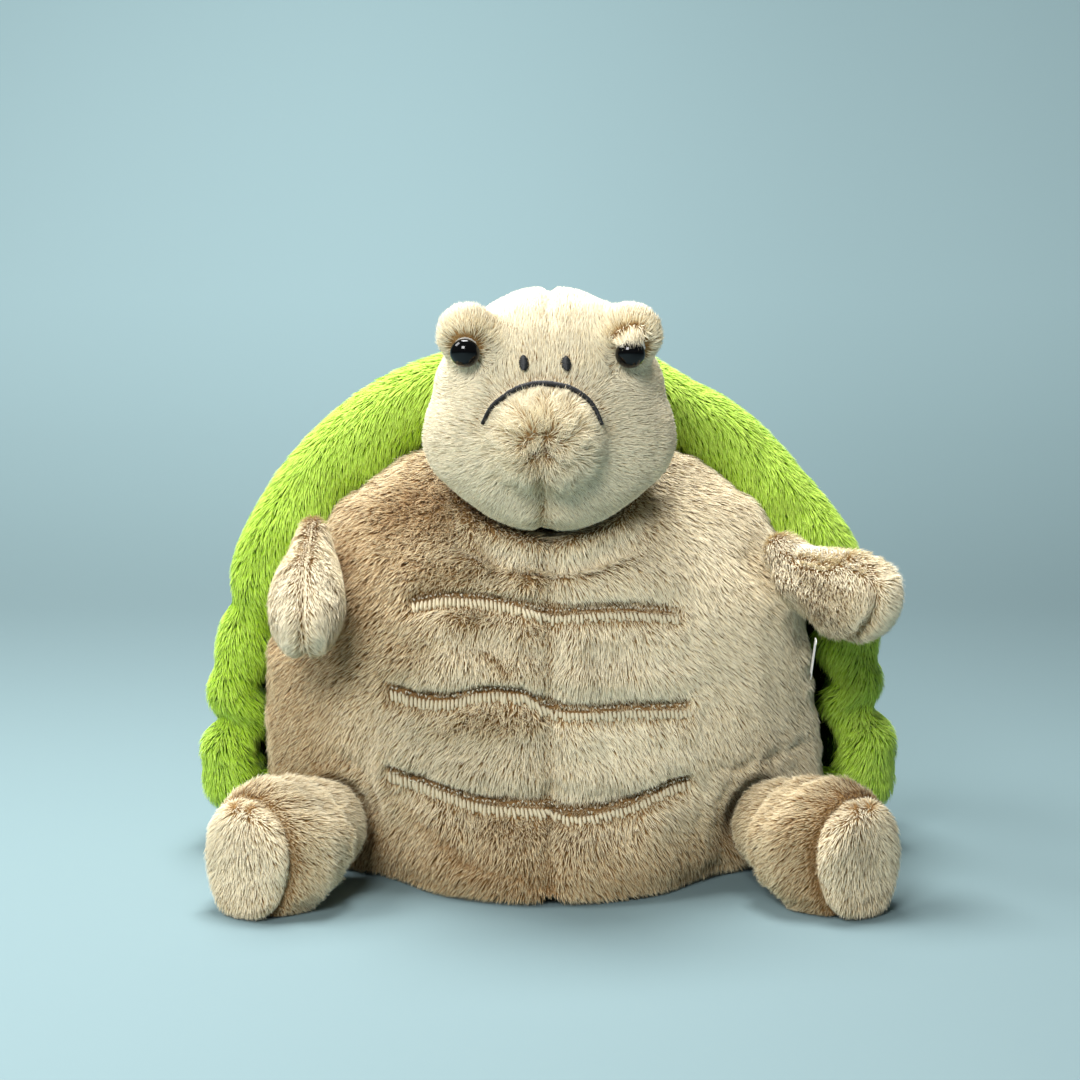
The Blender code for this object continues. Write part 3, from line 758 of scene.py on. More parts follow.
def puffed(skin: Skin, held: Array, reach: float, slack: float) -> Skin:
    """Fabric blown up by its stuffing: a short cloth simulation that is held at its seams.

    Args:
        skin: the closed skin.
        held: one at corners that a seam holds, down to zero where the fabric is free.
        reach: no corner moves further than this.
        slack: how much larger than its form the fabric was cut, as a share.

    Returns:
        The skin with its folds and swells.
    """
    blown = add_object("blown form", make_mesh("blown form", skin.points, skin.faces))
    sewn = blown.vertex_groups.new(name="sewn")
    for level in range(1, 11):
        rows = np.flatnonzero(np.round(held * 10) == level)
        if len(rows):
            sewn.add([int(row) for row in rows], level / 10, "REPLACE")
    cloth = blown.modifiers.new("stuffing", "CLOTH")
    cloth.settings.vertex_group_mass = "sewn"
    cloth.settings.use_pressure = True
    cloth.settings.uniform_pressure_force = 4.0
    cloth.settings.shrink_min = -slack
    cloth.settings.tension_stiffness = 12.0
    cloth.settings.compression_stiffness = 12.0
    cloth.settings.bending_stiffness = 0.4
    cloth.settings.effector_weights.gravity = 0.0
    cloth.collision_settings.use_collision = False
    cloth.point_cache.frame_start = 1
    cloth.point_cache.frame_end = 20
    for step in range(1, 21):
        bpy.context.scene.frame_set(step)
    graph = bpy.context.evaluated_depsgraph_get()
    shaped = bpy.data.meshes.new_from_object(blown.evaluated_get(graph))
    moved = mesh_arrays(shaped)[0] - skin.points
    bpy.data.meshes.remove(shaped)
    blown.modifiers.clear()
    bpy.data.objects.remove(blown, do_unlink=True)
    bpy.context.scene.frame_set(1)
    moved = moved / (1 + np.linalg.norm(moved, axis=1, keepdims=True) / reach)
    points = relax(skin.points + moved * (1 - held)[:, None], skin.faces, 1)
    LOG.info("cloth moved by up to %.1f mm", 1000 * np.abs(moved).max())
    return bare(points, skin.faces)


def filled(skin: Skin, rounds: int) -> Skin:
    """A skin whose sharp hollows are bridged, as a padded fabric bridges them."""
    points = skin.points
    for _ in range(rounds):
        moved = np.sum((relax(points, skin.faces, 1) - points) * skin.facing, axis=1)
        points = points + skin.facing * (2.0 * np.maximum(moved, 0.0))[:, None]
    return bare(relax(points, skin.faces, 1), skin.faces)


def near_gap(points: Array, line: Array) -> Array:
    """Distance from a line of places to each corner."""
    nearest = np.full(len(points), 1.0)
    for start, end in zip(line, line[1:]):
        along = end - start
        share = np.clip((points - start) @ along / (along @ along), 0, 1)
        nearest = np.minimum(nearest, np.linalg.norm(points - start - share[:, None] * along, axis=1))
    return nearest


def dip(gap: Array, width: float) -> Array:
    """One on a line and zero beyond its width, as a soft furrow."""
    return np.exp(-((gap / width) ** 2))


def nearest_names(spots: Array, nodes: list[str]) -> list[str]:
    """For each spot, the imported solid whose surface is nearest.

    Args:
        spots: the places.
        nodes: names of the solids.

    Returns:
        A name for each place.
    """
    trees = []
    for name in nodes:
        mesh = frame["nodes"][name].data
        points, faces, _ = mesh_arrays(mesh)
        trees.append(BVHTree.FromPolygons([Vector(p) for p in points], faces))
    found = []
    for spot in spots:
        gaps = [tree.find_nearest(Vector(spot))[3] for tree in trees]
        found.append(nodes[gaps.index(min(gaps))])
    return found


def hang(made: Object, body: Body, slot: Slot, *nodes: str) -> None:
    """Hangs a finished piece on its body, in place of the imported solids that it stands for."""
    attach(made, body.value)
    if nodes:
        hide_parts(*nodes)


class Dresser:
    """Turns skins into finished pieces with their pile."""

    CLOTH = 0.0012

    def __init__(self) -> None:
        """Builds the strand tree and keeps one pair of materials for each fabric."""
        self.strands = StrandTree()
        self.materials: dict[str, tuple[Material, Material]] = {}

    def _materials(self, finish: PileFinish) -> tuple[Material, Material]:
        """Strand and ground materials of a fabric, made once."""
        if finish.name not in self.materials:
            self.materials[finish.name] = (finish.strands(), finish.ground())
        return self.materials[finish.name]

    def _closed(self, name: str, skin: Skin) -> Mesh:
        """A sheet with its thickness and the values that its pile follows.

        Args:
            name: the mesh's name.
            skin: the sheet.

        Returns:
            The mesh.
        """
        size = len(skin.points)
        back = skin.points - skin.facing * self.CLOTH
        borders: dict[tuple[int, int], int] = {}
        for face in skin.faces:
            for a, b in zip(face, face[1:] + face[:1]):
                borders[(a, b)] = borders.get((a, b), 0) + 1
        faces = list(skin.faces)
        faces += [tuple(corner + size for corner in reversed(face)) for face in skin.faces]
        faces += [(b, a, a + size, b + size) for a, b in borders if (b, a) not in borders]
        mesh = make_mesh(name, np.concatenate([skin.points, back]), faces)
        nothing = np.zeros(size)
        for label, kind, values in (
            ("comb", "FLOAT_VECTOR", np.concatenate([skin.comb, skin.comb])),
            ("facing", "FLOAT_VECTOR", np.concatenate([skin.facing, skin.facing])),
            ("pile", "FLOAT", np.concatenate([skin.pile, skin.pile])),
            ("cover", "FLOAT", np.concatenate([skin.cover, nothing])),
            ("tint", "FLOAT", np.concatenate([skin.tint, skin.tint])),
            ("wild", "FLOAT", np.concatenate([skin.wild, skin.wild])),
        ):
            store = mesh.attributes.new(label, kind, "POINT")
            store.data.foreach_set("vector" if kind == "FLOAT_VECTOR" else "value", values.ravel())
        sheet = mesh.uv_layers.new(name="OFBake")
        corners = np.empty(len(mesh.loops), dtype=int)
        mesh.loops.foreach_get("vertex_index", corners)
        points = np.concatenate([skin.points, back])[corners]
        low, high = points.min(axis=0), points.max(axis=0)
        share = (points - low) / np.maximum(high - low, 1e-6)
        flat = np.stack([0.01 + 0.98 * share[:, 0], 0.945 + 0.05 * share[:, 2]], axis=1)
        sheet.data.foreach_set("uv", flat.ravel())
        return mesh

    def dress(self, name: str, skin: Skin, pile: Pile, body: Body, node: str) -> Object:
        """Grows the pile on a sheet and hangs the finished piece on its body.

        Args:
            name: the piece's name.
            skin: the sheet.
            pile: how its pile is made.
            body: the body that it moves with.
            node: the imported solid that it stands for.

        Returns:
            The finished piece.
        """
        strands, ground = self._materials(pile.finish)
        made = add_object(name, self._closed(name, skin))
        grown = self.strands.grow(made, {
            "Density": pile.density, "Strand width": pile.width, "Clump size": pile.clump,
            "Clump strength": pile.gather, "Disorder": pile.disorder, "Seed": pile.seed,
            "Strand material": strands, "Ground material": ground,
        })
        self._above_floor(grown)
        grown.shade_smooth()
        hang(made, body, pile.slot, node)
        LOG.info("%s: %d triangles", name, sum(len(p.vertices) - 2 for p in grown.polygons))
        return made

    def dress_panels(self, skin: Skin, panels: dict[str, str], pile: Pile, body: Body) -> None:
        """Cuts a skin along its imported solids' seams and dresses each panel.

        Args:
            skin: the whole skin.
            panels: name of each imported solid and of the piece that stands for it.
            pile: how their pile is made, with the first panel's seed.
            body: the body that they move with.
        """
        found = nearest_names(skin.centres(), list(panels))
        for further, (node, name) in enumerate(panels.items()):
            sheet = skin.part(np.array([other == node for other in found]))
            made = self.dress(name, sheet, replace(pile, seed=pile.seed + further), body, node)

    @staticmethod
    def _above_floor(mesh: Mesh) -> None:
        """Lays strands that would reach into the ground flat on it."""
        points = np.empty(len(mesh.vertices) * 3)
        mesh.vertices.foreach_get("co", points)
        rows = points.reshape(-1, 3)
        rows[:, 2] = np.maximum(rows[:, 2], LOWEST_STRAND)
        mesh.vertices.foreach_set("co", rows.ravel())
        mesh.update()


def mirrored(place: Place) -> Place:
    """The same place on the toy's other side."""
    return (-place[0], place[1], place[2])


def tangent(way: Array, facing: Array, strength: Array | float) -> Array:
    """A direction laid onto the skin, with a length that says how flat the pile lies."""
    flat = way - facing * np.sum(way * facing, axis=1, keepdims=True)
    return unit(flat) * (np.asarray(strength)[..., None] if np.ndim(strength) else strength)


def flat_gap(points: Array, line: Line) -> Array:
    """Distance from a line of X and Z places to each corner, seen from the front."""
    return near_gap(points[:, [0, 2]], np.array(line))


def spot_gap(points: Array, x: float, z: float, flat: float = 1.0) -> Array:
    """Distance from an X and Z place to each corner, seen from the front, with heights scaled by flat."""
    return np.hypot(points[:, 0] - x, (points[:, 2] - z) * flat)


# Repeated small pieces


def lofted(name: str, rings: list[list[Vector]], tip: Vector | None = None) -> Mesh:
    """A closed mesh through rings of equal count, all faces outwards.

    Args:
        name: the mesh's name.
        rings: the places of each ring.
        tip: where it closes after its last ring, if not on that ring.

    Returns:
        The mesh.
    """
    shape = bmesh.new()
    loops = [[shape.verts.new(place) for place in ring] for ring in rings]
    size = len(rings[0])
    for below, above in zip(loops, loops[1:]):
        for i in range(size):
            j = (i + 1) % size
            shape.faces.new((below[i], below[j], above[j], above[i]))
    shape.faces.new(loops[0][::-1])
    if tip is None:
        shape.faces.new(loops[-1])
    else:
        top = shape.verts.new(tip)
        for i in range(size):
            shape.faces.new((loops[-1][i], loops[-1][(i + 1) % size], top))
    bmesh.ops.recalc_face_normals(shape, faces=shape.faces)
    mesh = bpy.data.meshes.new(name)
    shape.to_mesh(mesh)
    shape.free()
    return mesh


class RepeatTree(PieceTree):
    """The tree that repeats a small shape at given places: stitches, threads and ribs."""

    NAME = "repeat shape"
    INPUTS = (("Shape", "NodeSocketObject"), ("Material", "NodeSocketMaterial"))
    SPENT = ("heading", "facing", "size")

    def _linked(self) -> Socket:
        """The copies, in their finish."""
        points = self._node("GeometryNodeMeshToPoints", None, {"Mesh": self.given["Geometry"]})
        shape = self._node(
            "GeometryNodeObjectInfo", {"transform_space": "ORIGINAL"}, {"Object": self.given["Shape"]}
        )
        facing, heading, size = (self._named(name, "FLOAT_VECTOR") for name in ("facing", "heading", "size"))
        turned = self._align("X", heading, self._align("Z", facing))
        real = self._copies(points.outputs[0], shape.outputs["Geometry"], turned, size)
        return self._painted(real, self.given["Material"])

    def repeat(
        self, name: str, shape: Mesh, places: Array, heading: Array, facing: Array, size: Array,
        material: Material,
    ) -> Object:
        """Makes one plain mesh of a shape repeated at places.

        Args:
            name: the piece's name.
            shape: the small shape, one unit long along X, with Z up.
            places: where each copy goes.
            heading: the way each copy's X points.
            facing: the way each copy's Z points.
            size: each copy's scale along its own axes.
            material: the finish.

        Returns:
            The piece, not yet hung on a body.
        """
        pattern = add_object(name + " shape", shape)
        mesh = bpy.data.meshes.new(name)
        mesh.from_pydata([tuple(place) for place in places], [], [])
        for label, values in (("heading", heading), ("facing", facing), ("size", size)):
            mesh.attributes.new(label, "FLOAT_VECTOR", "POINT").data.foreach_set("vector", values.ravel())
        made = add_object(name, mesh)
        self.grow(made, {"Shape": pattern, "Material": material}).shade_smooth()
        bpy.data.objects.remove(pattern, do_unlink=True)
        bpy.data.meshes.remove(shape)
        return made


def thread_loop() -> Mesh:
    """A stitch: a thread that comes up, arches over and goes down again, one long and one wide and high."""
    around, steps = 6, 7
    points, faces = [], []
    for step in range(steps + 1):
        swing = math.pi * step / steps
        for side in range(around):
            turn = 2 * math.pi * side / around
            out = 1.0 + 0.5 * math.sin(turn)
            points.append((
                -0.5 * math.cos(swing) * (0.9 + 0.1 * out), 0.5 * math.cos(turn),
                math.sin(swing) * (0.6 + 0.4 * out) - 0.3,
            ))
    for step in range(steps):
        for side in range(around):
            after = (side + 1) % around
            faces.append((
                step * around + side, step * around + after, (step + 1) * around + after,
                (step + 1) * around + side,
            ))
    faces.append(tuple(reversed(range(around))))
    faces.append(tuple(steps * around + side for side in range(around)))
    return outward_mesh("thread loop", points, faces)


def soft_rib() -> Mesh:
    """A gathered rib of cloth: a long low swelling, one long, one wide and one high."""
    around, rows = 8, 6
    points, faces = [(-0.5, 0.0, 0.0)], []
    for row in range(1, rows):
        lift = math.pi * row / rows
        full = math.sin(lift) ** 0.6
        for side in range(around):
            turn = 2 * math.pi * side / around
            points.append((-0.5 * math.cos(lift), 0.5 * full * math.cos(turn), full * math.sin(turn)))
    points.append((0.5, 0.0, 0.0))
    for side in range(around):
        after = (side + 1) % around
        faces.append((0, 1 + after, 1 + side))
        for row in range(rows - 2):
            low, high = 1 + row * around, 1 + (row + 1) * around
            faces.append((low + side, low + after, high + after, high + side))
        last = 1 + (rows - 2) * around
        faces.append((last + side, last + after, len(points) - 1))
    return outward_mesh("soft rib", points, faces)


def outward_mesh(name: str, points: list, faces: list) -> Mesh:
    """A smooth mesh whose faces all point outwards."""
    mesh = bpy.data.meshes.new(name)
    mesh.from_pydata(points, [], faces)
    shape = bmesh.new()
    shape.from_mesh(mesh)
    bmesh.ops.recalc_face_normals(shape, faces=shape.faces)
    shape.to_mesh(mesh)
    shape.free()
    mesh.shade_smooth()
    return mesh


def walk(line: Array, pitch: float) -> Array:
    """Places at even steps along a smooth curve through the given ones.

    Args:
        line: the given places.
        pitch: length of a step.

    Returns:
        The places.
    """
    dense = []
    padded = np.concatenate([line[:1] * 2 - line[1:2], line, line[-1:] * 2 - line[-2:-1]])
    for i in range(1, len(padded) - 2):
        before, start, end, after = padded[i - 1 : i + 3]
        for share in np.arange(0, 1, 0.05):
            dense.append(0.5 * (
                2 * start + (end - before) * share
                + (2 * before - 5 * start + 4 * end - after) * share**2
                + (3 * start - before - 3 * end + after) * share**3
            ))
    dense.append(line[-1])
    curve = np.array(dense)
    lengths = np.concatenate([[0.0], np.cumsum(np.linalg.norm(np.diff(curve, axis=0), axis=1))])
    wanted = np.arange(pitch / 2, lengths[-1], pitch)
    return np.stack([np.interp(wanted, lengths, curve[:, axis]) for axis in range(curve.shape[1])], axis=1)


class Surface:
    """A skin that stitches can be laid on."""

    def __init__(self, skin: Skin) -> None:
        """Keeps the skin for looking up places."""
        self.tree = BVHTree.FromPolygons([Vector(point) for point in skin.points], skin.faces)

    def front(self, spots: Array, lift: float) -> tuple[Array, Array]:
        """Places on the skin behind X and Z spots, seen from the front.

        Args:
            spots: X and Z of each.
            lift: how far above the skin.

        Returns:
            The places and the way the skin faces there.
        """
        places, ways = [], []
        for x, z in spots:
            _, way, _, _ = self.tree.ray_cast(Vector((x, -0.3, z)), Vector((0, 1, 0)))
            start = Vector((x - way.x * lift, -0.3, z - way.z * lift))
            hit, way, _, _ = self.tree.ray_cast(start, Vector((0, 1, 0)))
            places.append(hit + way * lift)
            ways.append(way)
        return np.array(places), np.array(ways)


# The toy


@dataclass
class Torso:
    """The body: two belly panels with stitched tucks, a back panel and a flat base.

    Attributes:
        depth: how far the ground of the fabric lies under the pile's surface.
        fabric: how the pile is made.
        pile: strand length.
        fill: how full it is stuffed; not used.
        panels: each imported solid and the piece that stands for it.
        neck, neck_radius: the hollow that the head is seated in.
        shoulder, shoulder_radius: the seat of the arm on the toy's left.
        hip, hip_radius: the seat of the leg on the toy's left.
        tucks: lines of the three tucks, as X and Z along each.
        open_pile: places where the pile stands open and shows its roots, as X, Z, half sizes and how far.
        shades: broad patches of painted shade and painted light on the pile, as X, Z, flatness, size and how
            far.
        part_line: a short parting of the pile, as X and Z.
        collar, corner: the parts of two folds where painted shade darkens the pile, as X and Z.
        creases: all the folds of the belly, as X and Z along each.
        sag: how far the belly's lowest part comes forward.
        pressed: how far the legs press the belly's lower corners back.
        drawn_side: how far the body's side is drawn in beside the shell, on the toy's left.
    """

    depth: float = 0.0038
    fabric: Pile = Pile(CREAM, Slot.CREAM, 1.86e6, 0.00049, 0.0052, 0.24, 0.38, 20)
    pile: float = 0.0058
    fill: float = 0.7
    panels: dict[str, str] = field(default_factory=lambda: {
        "belly_panel_left": "belly_left", "belly_panel_right": "belly_right",
        "back_panel": "back", "base_panel": "base",
    })
    neck: Place = (0.0, -0.066, 0.2095)
    neck_radius: float = 0.0551
    shoulder: Place = (0.10397, -0.05066, 0.14511)
    shoulder_radius: float = 0.0131
    hip: Place = (0.10152, -0.07423, 0.0271)
    hip_radius: float = 0.0241
    tucks: tuple[Line, ...] = (
        ((-0.0597, 0.1272), (-0.0461, 0.1298), (-0.0278, 0.1294), (-0.0096, 0.1263), (0.0016, 0.1236),
         (0.0176, 0.1247), (0.0363, 0.1247), (0.0555, 0.1225)),
        ((-0.0692, 0.0895), (-0.0552, 0.0865), (-0.0412, 0.087), (-0.0277, 0.0903), (-0.0113, 0.0896),
         (-0.0014, 0.0841), (0.0085, 0.0825), (0.0223, 0.0824), (0.0361, 0.0828), (0.0606, 0.0822)),
        ((-0.0703, 0.0532), (-0.0553, 0.0493), (-0.0414, 0.0451), (-0.0279, 0.0419), (-0.0023, 0.0407),
         (0.0086, 0.0382), (0.0225, 0.0392), (0.0364, 0.0421), (0.0499, 0.0471), (0.0609, 0.0498)),
    )
    open_pile: tuple[tuple[float, float, float, float, float], ...] = (
        (-0.0430, 0.1385, 0.0190, 0.0055, 0.9), (-0.0082, 0.1370, 0.0085, 0.0075, 0.8),
        (-0.0327, 0.1200, 0.0100, 0.0042, 0.8), (-0.0060, 0.1165, 0.0060, 0.0045, 0.8),
        (-0.0221, 0.0775, 0.0200, 0.0060, 1.0), (-0.0620, 0.1640, 0.0260, 0.0200, 0.9),
        (-0.0300, 0.1600, 0.0160, 0.0110, 0.5), (-0.0150, 0.1000, 0.0100, 0.0080, 0.4),
        (0.0400, 0.1580, 0.0140, 0.0080, 0.3), (-0.0160, 0.0330, 0.0160, 0.0050, 0.5),
        (0.0850, 0.0280, 0.0140, 0.0100, 0.4), (-0.0550, 0.1080, 0.0120, 0.0090, 0.4),
        (-0.0450, 0.0720, 0.0120, 0.0060, 0.4),
    )
    shades: tuple[tuple[float, float, float, float, float], ...] = (
        (-0.078, 0.118, 0.6, 0.022, -0.80), (-0.050, 0.165, 1.0, 0.030, -0.35),
        (0.045, 0.100, 0.7, 0.045, 0.16),
    )
    part_line: Line = ((-0.0290, 0.1073), (-0.0235, 0.1035), (-0.0180, 0.0992))
    collar: Line = ((-0.0335, 0.1670), (-0.0290, 0.1520), (-0.0200, 0.1370))
    corner: Line = ((-0.0666, 0.0433), (-0.050, 0.030), (-0.0355, 0.0187))
    creases: tuple[Line, ...] = (
        ((-0.0335, 0.1670), (-0.0290, 0.1520), (-0.0200, 0.1370)), ((-0.0300, 0.1560), (-0.0240, 0.1450)),
        ((-0.0666, 0.0433), (-0.050, 0.030), (-0.0355, 0.0187), (0.0027, 0.0079)),
        ((0.0705, 0.0545), (0.084, 0.0545), (0.1225, 0.060)), ((-0.093, 0.060), (-0.080, 0.053)),
        ((-0.036, 0.0160), (-0.019, 0.0135), (-0.004, 0.0160)), ((0.008, 0.125), (0.0, 0.08), (0.002, 0.02)),
    )
    sag: float = 0.027
    pressed: float = 0.0065
    drawn_side: float = 0.0085

    def tuck_gap(self, points: Array) -> Array:
        """Signed height above the nearest tuck line at each corner, large where there is none."""
        nearest = np.full(len(points), 1.0)
        for line in self.tucks:
            across, level = np.array(line).T
            height = points[:, 2] - np.interp(points[:, 0], across, level)
            beyond = np.maximum(np.maximum(across[0] - points[:, 0], points[:, 0] - across[-1]), 0.0)
            height = height + np.where(height < 0, -1.0, 1.0) * 4 * beyond
            height = np.where(points[:, 1] < -0.03, height, 1.0)
            nearest = np.where(np.abs(height) < np.abs(nearest), height, nearest)
        return nearest

    def seats(self) -> tuple[tuple[Place, float], ...]:
        """Centres and radii of the hollows that the head, the arms and the legs turn in."""
        return (
            (self.neck, self.neck_radius),
            (self.shoulder, self.shoulder_radius), (mirrored(self.shoulder), self.shoulder_radius),
            (self.hip, self.hip_radius), (mirrored(self.hip), self.hip_radius),
        )

    def shape(self) -> Skin:
        """The bare skin, puffed and with its tucks, seams and folds drawn in."""
        skin = fused([*self.panels, "body_stuffing"], 0.0026, 6)
        x, y, z = skin.points.T
        front = smooth_step(-y, 0.02, 0.05)
        held = dip(self.tuck_gap(skin.points), 0.0022) + dip(x, 0.0020) * front + dip(y, 0.0022)
        held = np.maximum(held, 1 - smooth_step(z, 0.002, 0.008))
        for centre, radius in self.seats():
            away = gap_to(skin.points, centre)
            held = np.maximum(held, 1 - smooth_step(away, radius + 0.001, radius + 0.006))
        skin = puffed(skin, np.clip(held, 0, 1), 0.0035, 0.05)
        points = skin.points - skin.facing * self.depth
        x, y, z = points.T
        middle = np.maximum(1 - (x / 0.074) ** 2, 0.0)
        y -= self.sag * (1 - smooth_step(z, 0.0, 0.050)) * middle * smooth_step(-y, 0.02, 0.06)
        aside = np.abs(x)
        beside_leg = smooth_step(aside, 0.045, 0.065) * (1 - smooth_step(aside, 0.095, 0.115))
        y += self.pressed * beside_leg * (1 - smooth_step(z, 0.020, 0.060)) * front
        x -= self.drawn_side * smooth_step(x, 0.080, 0.122) * dip(z - 0.085, 0.045)
        gap = self.tuck_gap(points)
        away = gap_to(points, self.neck)
        under = front * (1 - smooth_step(np.abs(x), 0.030, 0.045)) * (z < 0.18)
        fold = 0.0050 * dip(away - 0.0612, 0.0035) - 0.0026 * dip(away - 0.0700, 0.0022)
        drawn = 0.0058 * dip(gap - 0.0004, 0.0016) - 0.0016 * dip(np.abs(gap) - 0.012, 0.007)
        seam = 0.0020 * dip(x, 0.0013) + 0.0014 * dip(x, 0.006)
        creases = sum(0.0016 * dip(flat_gap(points, line), 0.0022) for line in self.creases)
        points = pushed(points, skin.facing, fold * under - (drawn + seam + creases) * front)
        points[:, 2] = np.maximum(points[:, 2], LOWEST_SKIN)
        return bare(points, skin.faces)

    def build(self, dresser: "Dresser") -> Skin:
        """Makes the four panels.

        Args:
            dresser: what grows their pile.

        Returns:
            The whole skin of the body, which the stitches are laid on.
        """
        skin = self.shape()
        points, facing = skin.points, skin.facing
        x, y, z = points.T
        count = len(points)
        gap = self.tuck_gap(points)
        front = smooth_step(-y, 0.02, 0.05)
        outward = np.stack([x / 0.10, np.zeros(count), np.full(count, -1.0)], axis=1)
        outward[:, 0] += 0.45 * np.sin(z * 95 + 1.3) * np.sin(x * 60 + 0.4)
        # The half on the toy's left was brushed smooth; the other was stroked up in places.
        rough = 1 - smooth_step(x, -0.004, 0.004)
        strength, tint, wild = 1.95 - 0.30 * rough, 0.34 - 0.14 * rough, 0.60 + 0.55 * rough
        pile = np.full(count, self.pile)
        for at_x, at_z, wide, tall, share in self.open_pile:
            spot = np.hypot((x - at_x) / wide, (z - at_z) / tall)
            near = share * np.exp(-(spot**2.4)) * front
            strength -= 0.95 * near
            tint -= 0.60 * near
            wild += 1.5 * near
        # Painted shade in the collar fold under the chin and in the fold between the belly and the leg.
        folds = dip(flat_gap(points, self.collar), 0.0030) + dip(flat_gap(points, self.corner), 0.0040)
        tint -= 0.30 * folds * front
        parted = dip(flat_gap(points, self.part_line), 0.0016) * front
        tint -= 0.9 * parted
        pile *= 1 - 0.6 * parted
        comb = tangent(outward, facing, np.maximum(strength, 0.35))
        # Below each tuck the pile is pressed flat by the gathered band.
        band = smooth_step(-gap, 0.0, 0.001) * (1 - smooth_step(-gap, 0.0052, 0.0070)) * front
        down = tangent(np.tile((0.0, 0.0, -1.0), (count, 1)), facing, 2.6)
        comb = comb * (1 - band[:, None]) + down * band[:, None]
        pile *= 1 - 0.55 * band
        wild *= 1 - 0.8 * band
        tint = np.maximum(tint, -0.75) * (1 - band) + 0.05 * band
        above = smooth_step(gap, -0.0008, 0.0002) * (1 - smooth_step(gap, 0.0035, 0.0070)) * front
        pile *= 1 - 0.62 * above
        tint -= 1.05 * dip(gap - 0.0004, 0.0020) * front
        tint -= 0.55 * (dip(x, 0.0016) * front)
        pile *= 1 - 0.45 * dip(x, 0.0035) * front
        # Painted shade: beside the shell, on the toy's right side, high under the head and the arms, and low
        # on the belly, the pile is drawn darker where less light reaches.
        tint -= 0.22 * smooth_step(np.abs(x), 0.095, 0.125)
        tint -= 0.62 * smooth_step(-x, 0.070, 0.105)
        tint -= 0.25 * smooth_step(z, 0.145, 0.175)
        tint -= 0.85 * (1 - smooth_step(z, 0.012, 0.050))
        # Painted light and shade: darker in the right arm's shadow and below the head on the toy's right,
        # paler on the lit left of the belly.
        for at_x, at_z, flat, size, share in self.shades:
            tint += share * dip(spot_gap(points, at_x, at_z, flat), size)
        # Painted light in the fold under the chin, where the head casts shade.
        tint += 0.45 * dip(gap_to(points, self.neck) - 0.0625, 0.004) * front * (np.abs(x) < 0.04)
        cover = np.ones(count)
        for centre, radius in self.seats():
            cover *= smooth_step(gap_to(points, centre), radius - 0.001, radius + 0.002)
        for centre, radius in self.seats()[1:]:
            # Where a limb is sewn on, the pile is trodden down and shorter, and the crease round the seat is
            # darkened with painted shade.
            gone = gap_to(points, centre)
            tint -= 0.55 * dip(gone - radius - 0.001, 0.006)
            pile *= 1 - 0.35 * dip(gone - radius, 0.005)
        # Behind the shell and on the ground little pile is seen.
        cover *= 1 - 0.96 * smooth_step(y, 0.010, 0.018)
        cover *= 1 - 0.94 * (1 - smooth_step(z, 0.0022, 0.005)) * (y > -0.06)
        cover *= smooth_step(z, 0.0018, 0.003)
        cover *= 1 - 0.8 * smooth_step(y, -0.016, -0.004) * (z < 0.012)
        skin = Skin(points, skin.faces, facing, comb, pile, cover, tint, wild)
        dresser.dress_panels(skin, self.panels, self.fabric, Body.TORSO)
        return skin


